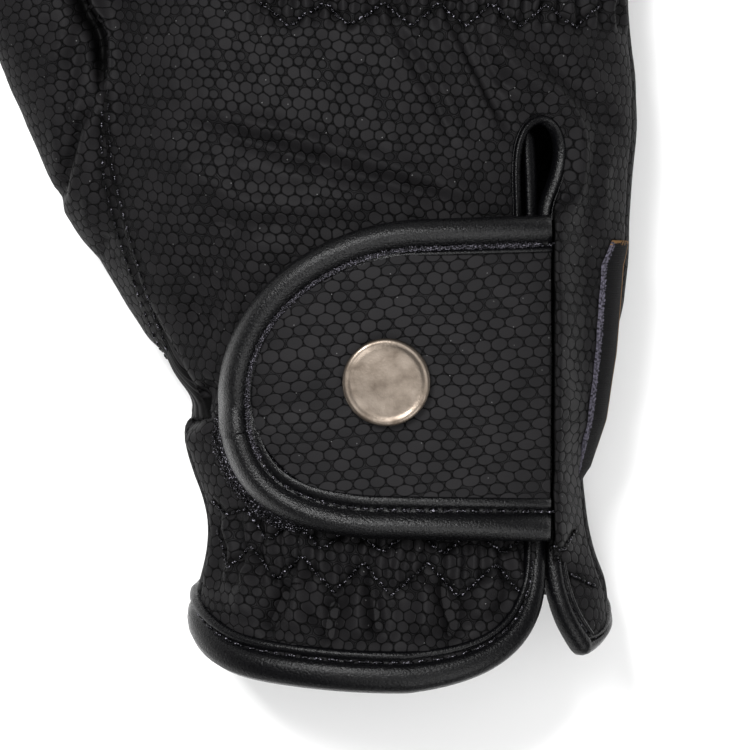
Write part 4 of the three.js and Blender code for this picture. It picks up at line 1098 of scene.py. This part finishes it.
def bindingPath():
    corner, up, end, down, tail = slitLine()
    angles = [float(backAngle(x, np.array(0.0))) for x in (corner[0, 0], slit["tailX"])]
    turn = np.linspace(angles[1] + 0.02, angles[0] - 0.02 - 2 * np.pi, 240)
    hem = formPoint(turn, np.zeros(turn.shape))
    hemUp = formNormal(turn, np.zeros(turn.shape))
    flat = np.vstack([corner, up[1:], end[1:], down[1:], tail[1:]])
    onTop = resample(flat, hemBinding["step"])
    top = overBack(onTop[:, 0], onTop[:, 1], 0.0)
    topUp = backNormal(onTop[:, 0], onTop[:, 1])
    # its width from the hem's corner up the slit, round the slit's end and down to the tail
    lengths = lengthsAlong(onTop)
    wide = np.interp(lengths / lengths[-1], *hemBinding["slitWidths"])
    points, ups = np.vstack([top, hem]), np.vstack([topUp, hemUp])
    hemWide = np.interp(np.linspace(0, 1, len(hem)), *hemBinding["hemWidths"])
    widths = np.concatenate([wide, hemWide])
    # evened as a closed loop, so that the pointed corner is round
    for _ in range(6):
        points = 0.5 * points + 0.25 * (np.roll(points, 1, 0) + np.roll(points, -1, 0))
        ups = unit(0.5 * ups + 0.25 * (np.roll(ups, 1, 0) + np.roll(ups, -1, 0)))
        widths = 0.5 * widths + 0.25 * (np.roll(widths, 1) + np.roll(widths, -1))
    return points, ups, widths


def sweepBinding():
    points, ups, widths = bindingPath()
    ahead = unit(np.roll(points, -1, 0) - np.roll(points, 1, 0))
    into = unit(np.cross(ups, ahead))
    if into[2, 1] < 0:
        into = -into
    slim = np.interp(widths, *hemBinding["thickness"])
    rings = []
    for p, u, i, w, s in zip(points, ups, into, widths, slim):
        across = foldedStrip[:, :1] * np.where(foldedStrip[:, :1] < 0, max(w, hemBinding["turnedUnder"]), w)
        rise = foldedStrip[:, 1:] * np.where(foldedStrip[:, 1:] > 0, s, 0.55 + 0.45 * s)
        ring = p + i * across + u * rise
        ring[:, 2] = np.maximum(ring[:, 2], 0.05)
        rings.append(ring)
    return rings, points, ups, into, widths, slim


rings, edgePoints, edgeUps, edgeInto, edgeWidths, edgeSlim = sweepBinding()
points, faces = loft(rings, looped=True)
makePiece("cuff_edge_binding", points, faces, bindingLeather, ["cuff_binding"])

# the facing's folded edge shows inside the slit's round end
foldLine = resample(rounded([(20.6, 39.2), (20.9, 35), (21.1, 30.6), (21.3, 24)], 3), 0.6)
foldTurn = np.linspace(0, 2 * np.pi, 20, endpoint=False)
foldRings = []
for k, (x, y) in enumerate(foldLine):
    half = 0.95 * math.sqrt(min(1, (k + 0.6) / 3))
    foldRings.append(overBack(x + half * np.cos(foldTurn), y, -1.3 + 0.9 * np.sin(foldTurn)))
points, faces = loft(foldRings)
makePiece("slit_inner_fold", points, faces, bindingLeather)

# Strap: pebbled panel, rolled edge, pile patch below it
strapFace = {"cell": 0.5, "inset": 5.6}


def sheetOver(outline, low, high, cell):
    xs = np.arange(outline[:, 0].min() - 1, outline[:, 0].max() + 1, cell)
    ys = np.arange(outline[:, 1].min() - 1, outline[:, 1].max() + 1, cell)
    gx, gy = np.meshgrid(xs, ys)
    flat = np.stack([gx.ravel(), gy.ravel(), np.zeros(gx.size)], -1)
    cells = gridCells(len(xs), len(ys))
    away, _, _ = polylineDistance(flat[:, 0], flat[:, 1], np.vstack([outline, outline[:1]]))
    field = np.where(insideOutline(flat[:, 0], flat[:, 1], outline), away, -away)
    flat, cells, keep = cutAlong(flat, cells, field)
    cells = cells[keep]
    top = overBack(flat[:, 0], flat[:, 1], high)
    below = overBack(flat[:, 0], flat[:, 1], low)
    points, faces, used = walled(top, below, cells)
    return points, faces, np.vstack([flat[used], flat[used]])


outline = strapLine(strapFace["inset"])
points, faces, flat = sheetOver(outline, strap["lift"], strap["lift"] + strap["thickness"], strapFace["cell"])
makePiece("strap_face", points, faces, strapLeather, ["strap_panel"], grain=flat)

# inset from the strap's edge and height over the hand, in mm: tube, sewn channel, inner lip
pipingProfile = np.array([
    (0.3, 1.7), (0.0, 2.5), (0.05, 3.4), (0.4, 4.5), (1.0, 5.3), (1.8, 5.75), (2.6, 5.7), (3.4, 5.3), (4.0, 4.75),
    (4.35, 4.3), (4.6, 4.1), (5.1, 4.15), (5.35, 4.6), (5.7, 4.95), (6.2, 5.05), (6.7, 4.9), (6.95, 4.62), (7.0, 4.3),
    (6.9, 3.0), (6.0, 2.2), (4.0, 1.7), (2.0, 1.4),
])


def sweepPiping():
    line = strapLine(0, 0.8)
    ahead = np.gradient(line, axis=0)
    ahead /= np.linalg.norm(ahead, axis=1, keepdims=True)
    into = np.stack([ahead[:, 1], -ahead[:, 0]], -1)
    if into[len(line) // 2, 0] < 0:
        into = -into
    rings = []
    share = np.linspace(0, 1, len(line))
    # the inner lip shows at the top's end and along the foot, and sinks under the panel between them
    tall = 1 - smoothStep(0.1, 0.24, share) + smoothStep(0.5, 0.8, share)
    wide = np.interp(share, [0, 0.2, 0.5, 0.75, 1], [0.5, 0.4, 0.5, 1, 1])
    for (x, y), (ix, iy), t, w in zip(line, into, tall, wide):
        inset, height = pipingProfile[:, 0].copy(), pipingProfile[:, 1].copy()
        lip = inset > 5.15
        inset[lip] = 5.15 + (inset[lip] - 5.15) * w
        height[lip] = np.where(height[lip] > 4.0, 4.0 + (height[lip] - 4.0) * t, height[lip])
        rings.append(overBack(x + ix * inset, y + iy * inset, height))
    return rings, line, into


rings, strapPath, strapInto = sweepPiping()
points, faces = loft(rings)
makePiece("strap_edge_binding", points, faces, strapBindingLeather, ["strap_binding"])

# Cap
cap = {"x": -2.2, "y": -1.1, "lift": 0.3}
# radius and height in mm
capProfile = [(0.0, -0.2), (6.4, -0.2), (6.9, 0.0), (7.05, 0.3), (7.05, 0.75), (6.95, 1.05), (6.7, 1.25), (6.4, 1.32),
              (6.1, 1.27), (5.8, 1.13), (5.4, 1.06), (4.5, 1.1), (3.0, 1.2), (1.5, 1.27), (0.0, 1.3)]


def latheCap():
    line = resample(rounded(capProfile[1:], 2), 0.22)
    turn = np.linspace(0, 2 * np.pi, 96, endpoint=False)
    base = overBack(cap["x"], cap["y"], strap["lift"] + strap["thickness"] + cap["lift"])
    up = backNormal(cap["x"], cap["y"])
    side = unit(np.cross(up, (0, 1, 0)))
    ahead = np.cross(up, side)
    circle = np.cos(turn)[:, None] * side + np.sin(turn)[:, None] * ahead
    return loft([base + up * z + r * circle for r, z in line[:-1]])


points, faces = latheCap()
makePiece("cap_turned", points, faces, silverFinish, ["button_cap"])

# Loop patch
patch = {"proud": 0.9, "under": 2.0, "low": 0.35, "high": 1.5, "cell": 0.9}
line = strapLine(0, 1.0)
outwards = np.gradient(line, axis=0)
outwards = np.stack([outwards[:, 1], -outwards[:, 0]], -1) / np.linalg.norm(outwards, axis=1, keepdims=True)
outwards *= np.sign((outwards * line).sum(1, keepdims=True))
share = np.linspace(0, 1, len(line))
showing = smoothStep(0.5, 0.56, share) * (1 - smoothStep(0.68, 0.74, share))
outline = line + outwards * (patch["proud"] * showing - patch["under"] * (1 - showing))[:, None]
loopEdges = []
shown = (showing > 0.4).nonzero()[0]
for out, lift in ((0.1, 1.3), (0.55, 1.1), (0.95, 0.8), (0.5, 1.6)):
    edge = (outline + outwards * (out - 0.2))[shown]
    loopEdges.append(overBack(edge[:, 0], edge[:, 1], lift))
points, faces, flat = sheetOver(outline, patch["low"], patch["high"], patch["cell"])
makePiece("pile_patch", points, faces, pileFinish, ["loop_patch"])

# Side label
labelEdges = {
    # along, left edge across, right edge across
    "rows": np.array([(21.8, 34.6, 37.3), (18.9, 33.3, 36.7), (17.9, 32.8, 36.4), (3.5, 31.9, 35.3), (-7.2, 30.7, 33.7),
                      (-14.9, 29.0, 31.2), (-17.6, 28.3, 29.3)]),
    "width": 6.5, "thickness": 0.7, "columns": 12, "lines": 60,
}


def labelSheet():
    rows = labelEdges["rows"][::-1]
    n, m = labelEdges["columns"], labelEdges["lines"]
    ys = np.linspace(rows[0, 0], rows[-1, 0], m)
    left = np.interp(ys, rows[:, 0], rows[:, 1])
    right = np.interp(ys, rows[:, 0], rows[:, 2])
    start = overBack(left, ys, 0.6)
    fall = np.sqrt(np.maximum(labelEdges["width"] ** 2 - (right - left) ** 2, 1))
    end = np.stack([right, ys, start[:, 2] - fall], -1)
    share = np.linspace(0, 1, n)[:, None]
    top, flat = [], []
    for a, b, y in zip(start, end, ys):
        bow = np.sin(np.pi * share) * np.array([0.5, 0, 0.3])
        top.append(a * (1 - share) + b * share + bow)
        flat.append(np.stack([share[:, 0] * labelEdges["width"], np.full(n, y), np.zeros(n)], -1))
    top, flat = np.concatenate(top), np.concatenate(flat)
    cells = gridCells(n, m)
    ups = vertexNormals(top, cells)
    if ups[:, 0].mean() < 0:
        cells, ups = cells[:, ::-1], -ups
    points, faces, used = walled(top, top - ups * labelEdges["thickness"], cells)
    return points, faces, np.vstack([flat[used], flat[used]])


points, faces, flat = labelSheet()
makePiece("woven_side_label", points, faces, tapeFinish, ["side_label"], grain=flat)


# Stitches: Geometry Nodes lay a short thread loop at each step of a sewn line
def stitchTree():
    tree = bpy.data.node_groups.new("stitchRow", "GeometryNodeTree")
    add = partial(addNode, tree)
    tree.interface.new_socket("Geometry", in_out="INPUT", socket_type="NodeSocketGeometry")
    for name in ("Pitch", "Length", "Thickness", "Wander"):
        tree.interface.new_socket(name, in_out="INPUT", socket_type="NodeSocketFloat")
    tree.interface.new_socket("Seed", in_out="INPUT", socket_type="NodeSocketInt")
    tree.interface.new_socket("Finish", in_out="INPUT", socket_type="NodeSocketMaterial")
    tree.interface.new_socket("Geometry", in_out="OUTPUT", socket_type="NodeSocketGeometry")
    start = add("NodeGroupInput").outputs
    curve = add("GeometryNodeMeshToCurve", {"Mesh": start["Geometry"]})
    even = add("GeometryNodeResampleCurve", {"Curve": curve, "Length": start["Pitch"]}, mode="LENGTH")
    ball = add("GeometryNodeMeshUVSphere", {"Segments": 7, "Rings": 5, "Radius": 0.5})
    shake = add("FunctionNodeRandomValue", {0: (-1, -1, -1), 1: (1, 1, 1), "Seed": start["Seed"]},
                data_type="FLOAT_VECTOR")
    turn = add(vec + "SCALE", {0: shake, "Scale": start["Wander"]})
    lean = add(vec + "ADD", [add("GeometryNodeInputTangent"), turn])
    facing = add("FunctionNodeAlignEulerToVector", {"Vector": lean}, axis="X")
    size = add("ShaderNodeCombineXYZ", [start["Length"], start["Thickness"], start["Thickness"]])
    laid = add("GeometryNodeInstanceOnPoints", {"Points": even, "Instance": ball, "Rotation": facing, "Scale": size})
    real = add("GeometryNodeRealizeInstances", {"Geometry": laid})
    painted = add("GeometryNodeSetMaterial", {"Geometry": real, "Material": start["Finish"]})
    add("NodeGroupOutput", {"Geometry": painted})
    return tree


stitches = stitchTree()
# pitch, length and thickness in mm; wander leans each loop off the line
rows = {
    "thumb_seam_stitches": {"pitch": 2.0, "length": 1.4, "thickness": 0.34, "wander": 0.18, "seed": 4},
    "zigzag_stitches": {"pitch": 1.35, "length": 1.15, "thickness": 0.5, "wander": 0.3, "seed": 7},
    "hem_stitches": {"pitch": 2.4, "length": 1.9, "thickness": 0.45, "wander": 0.12, "seed": 9},
    "strap_stitches": {"pitch": 2.2, "length": 1.9, "thickness": 0.5, "wander": 0.16, "seed": 2},
    "frayed_thread": {"pitch": 0.3, "length": 0.85, "thickness": 0.1, "wander": 2.4, "seed": 5},
    "pile_loops": {"pitch": 0.42, "length": 1.1, "thickness": 0.24, "wander": 1.5, "seed": 6},
}


def sewLines(name, lines, finish=threadFinish):
    points, edges = [], []
    for line in lines:
        edges += [(len(points) + i, len(points) + i + 1) for i in range(len(line) - 1)]
        points += (np.asarray(line) * mm).tolist()
    mesh = bpy.data.meshes.new(name)
    mesh.from_pydata(points, edges, [])
    piece = addObject(name, mesh)
    row = rows[name]
    values = {"Pitch": row["pitch"] * mm, "Length": row["length"] * mm, "Thickness": row["thickness"] * mm,
              "Wander": row["wander"], "Seed": row["seed"], "Finish": finish}
    modifier = piece.modifiers.new(stitches.name, "NODES")
    modifier.node_group = stitches
    for item in stitches.interface.items_tree:
        if item.in_out == "INPUT" and item.name in values:
            modifier[item.identifier] = values[item.name]
    piece.data = evaluated(piece)
    piece.data.polygons.foreach_set("use_smooth", [True] * len(piece.data.polygons))
    dress(piece)


thumbRows = [resample(rounded(line, 2), 0.5) for line in thumbRows]
sewLines("thumb_seam_stitches", [drape(line[:, 0], line[:, 1], 0.12) for line in thumbRows])
zigzagRows = [resample(line, 0.5) for line in zigzags.values()]
sewLines("zigzag_stitches", [drape(line[:, 0], line[:, 1], 0.18) for line in zigzagRows])
# in the folded strip's groove, from where the slim part of the slit's binding begins
groove = edgePoints + edgeInto * (0.665 * edgeWidths[:, None]) + edgeUps * (0.42 * edgeSlim[:, None])
wideEnough = edgeWidths > hemBinding["stitched"]
slimFrom = np.argmax(~wideEnough)
sewLines("hem_stitches", [np.roll(groove, -slimFrom, 0)[np.roll(wideEnough, -slimFrom)]])
channel = strapPath + strapInto * 4.8
sewLines("strap_stitches", [overBack(channel[:, 0], channel[:, 1], 4.3)])
# the thread's filaments are rubbed open along the top, and the patch's loops stand out below the strap
rubbed = slice(int(0.02 * len(channel)), int(0.6 * len(channel)))
frayed = [(strapPath + strapInto * inset)[rubbed] for inset in (4.55, 4.8, 5.0)]
sewLines("frayed_thread", [overBack(line[:, 0], line[:, 1], 4.55) for line in frayed], frayedFinish)
sewLines("pile_loops", loopEdges, pileFinish)

# Floor, light and camera
stage = {
    "floor": "#ececec", "floorReach": 1500, "world": 0.3,
    # place in metres, size, power
    "lamps": {
        "keyAbove": ((-0.28, 0.36, 0.8), 0.28, 12.5),
        "softOverhead": ((0.1, -0.05, 1.3), 1.2, 7.6),
        "fillBelow": ((0.3, -0.5, 0.6), 0.5, 4.6),
    },
    "camera": (-0.004, 0.0, 1.238), "lens": 360.0, "sensor": 36.0,  # 120 mm of the glove across the picture
}
far = stage["floorReach"]
floor = addObject("floor", makeMesh("floor", [(-far, -far, 0), (far, -far, 0), (far, far, 0), (-far, far, 0)],
                                    [(0, 1, 2, 3)], smooth=False))
# plain matte studio paper
paper, add = newMaterial("paleFloor")
shader = add("ShaderNodeBsdfPrincipled", {"Base Color": linear(stage["floor"]), "Roughness": 0.9})
add("ShaderNodeOutputMaterial", {"Surface": shader})
floor.data.materials.append(paper)

world = bpy.data.worlds.new("studio")
world.use_nodes = True
background = world.node_tree.nodes["Background"].inputs
background[0].default_value, background[1].default_value = (1, 1, 1, 1), stage["world"]
bpy.context.scene.world = world
for name, (place, size, power) in stage["lamps"].items():
    data = bpy.data.lights.new(name, "AREA")
    data.size, data.energy = size, power
    lamp = addObject(name, data)
    lamp.location = place
    lamp.rotation_mode = "QUATERNION"
    lamp.rotation_quaternion = (Vector((0, 0, 0.02)) - Vector(place)).to_track_quat("-Z", "Y")

# straight down, as in the photo
lens = bpy.data.cameras.new("overhead")
lens.lens, lens.sensor_width = stage["lens"], stage["sensor"]
lens.clip_start, lens.clip_end = 0.05, 20.0
camera = addObject("overhead", lens)
camera.location = stage["camera"]
bpy.context.scene.camera = camera
bpy.context.scene.view_settings.view_transform = "Standard"
print("stage set")
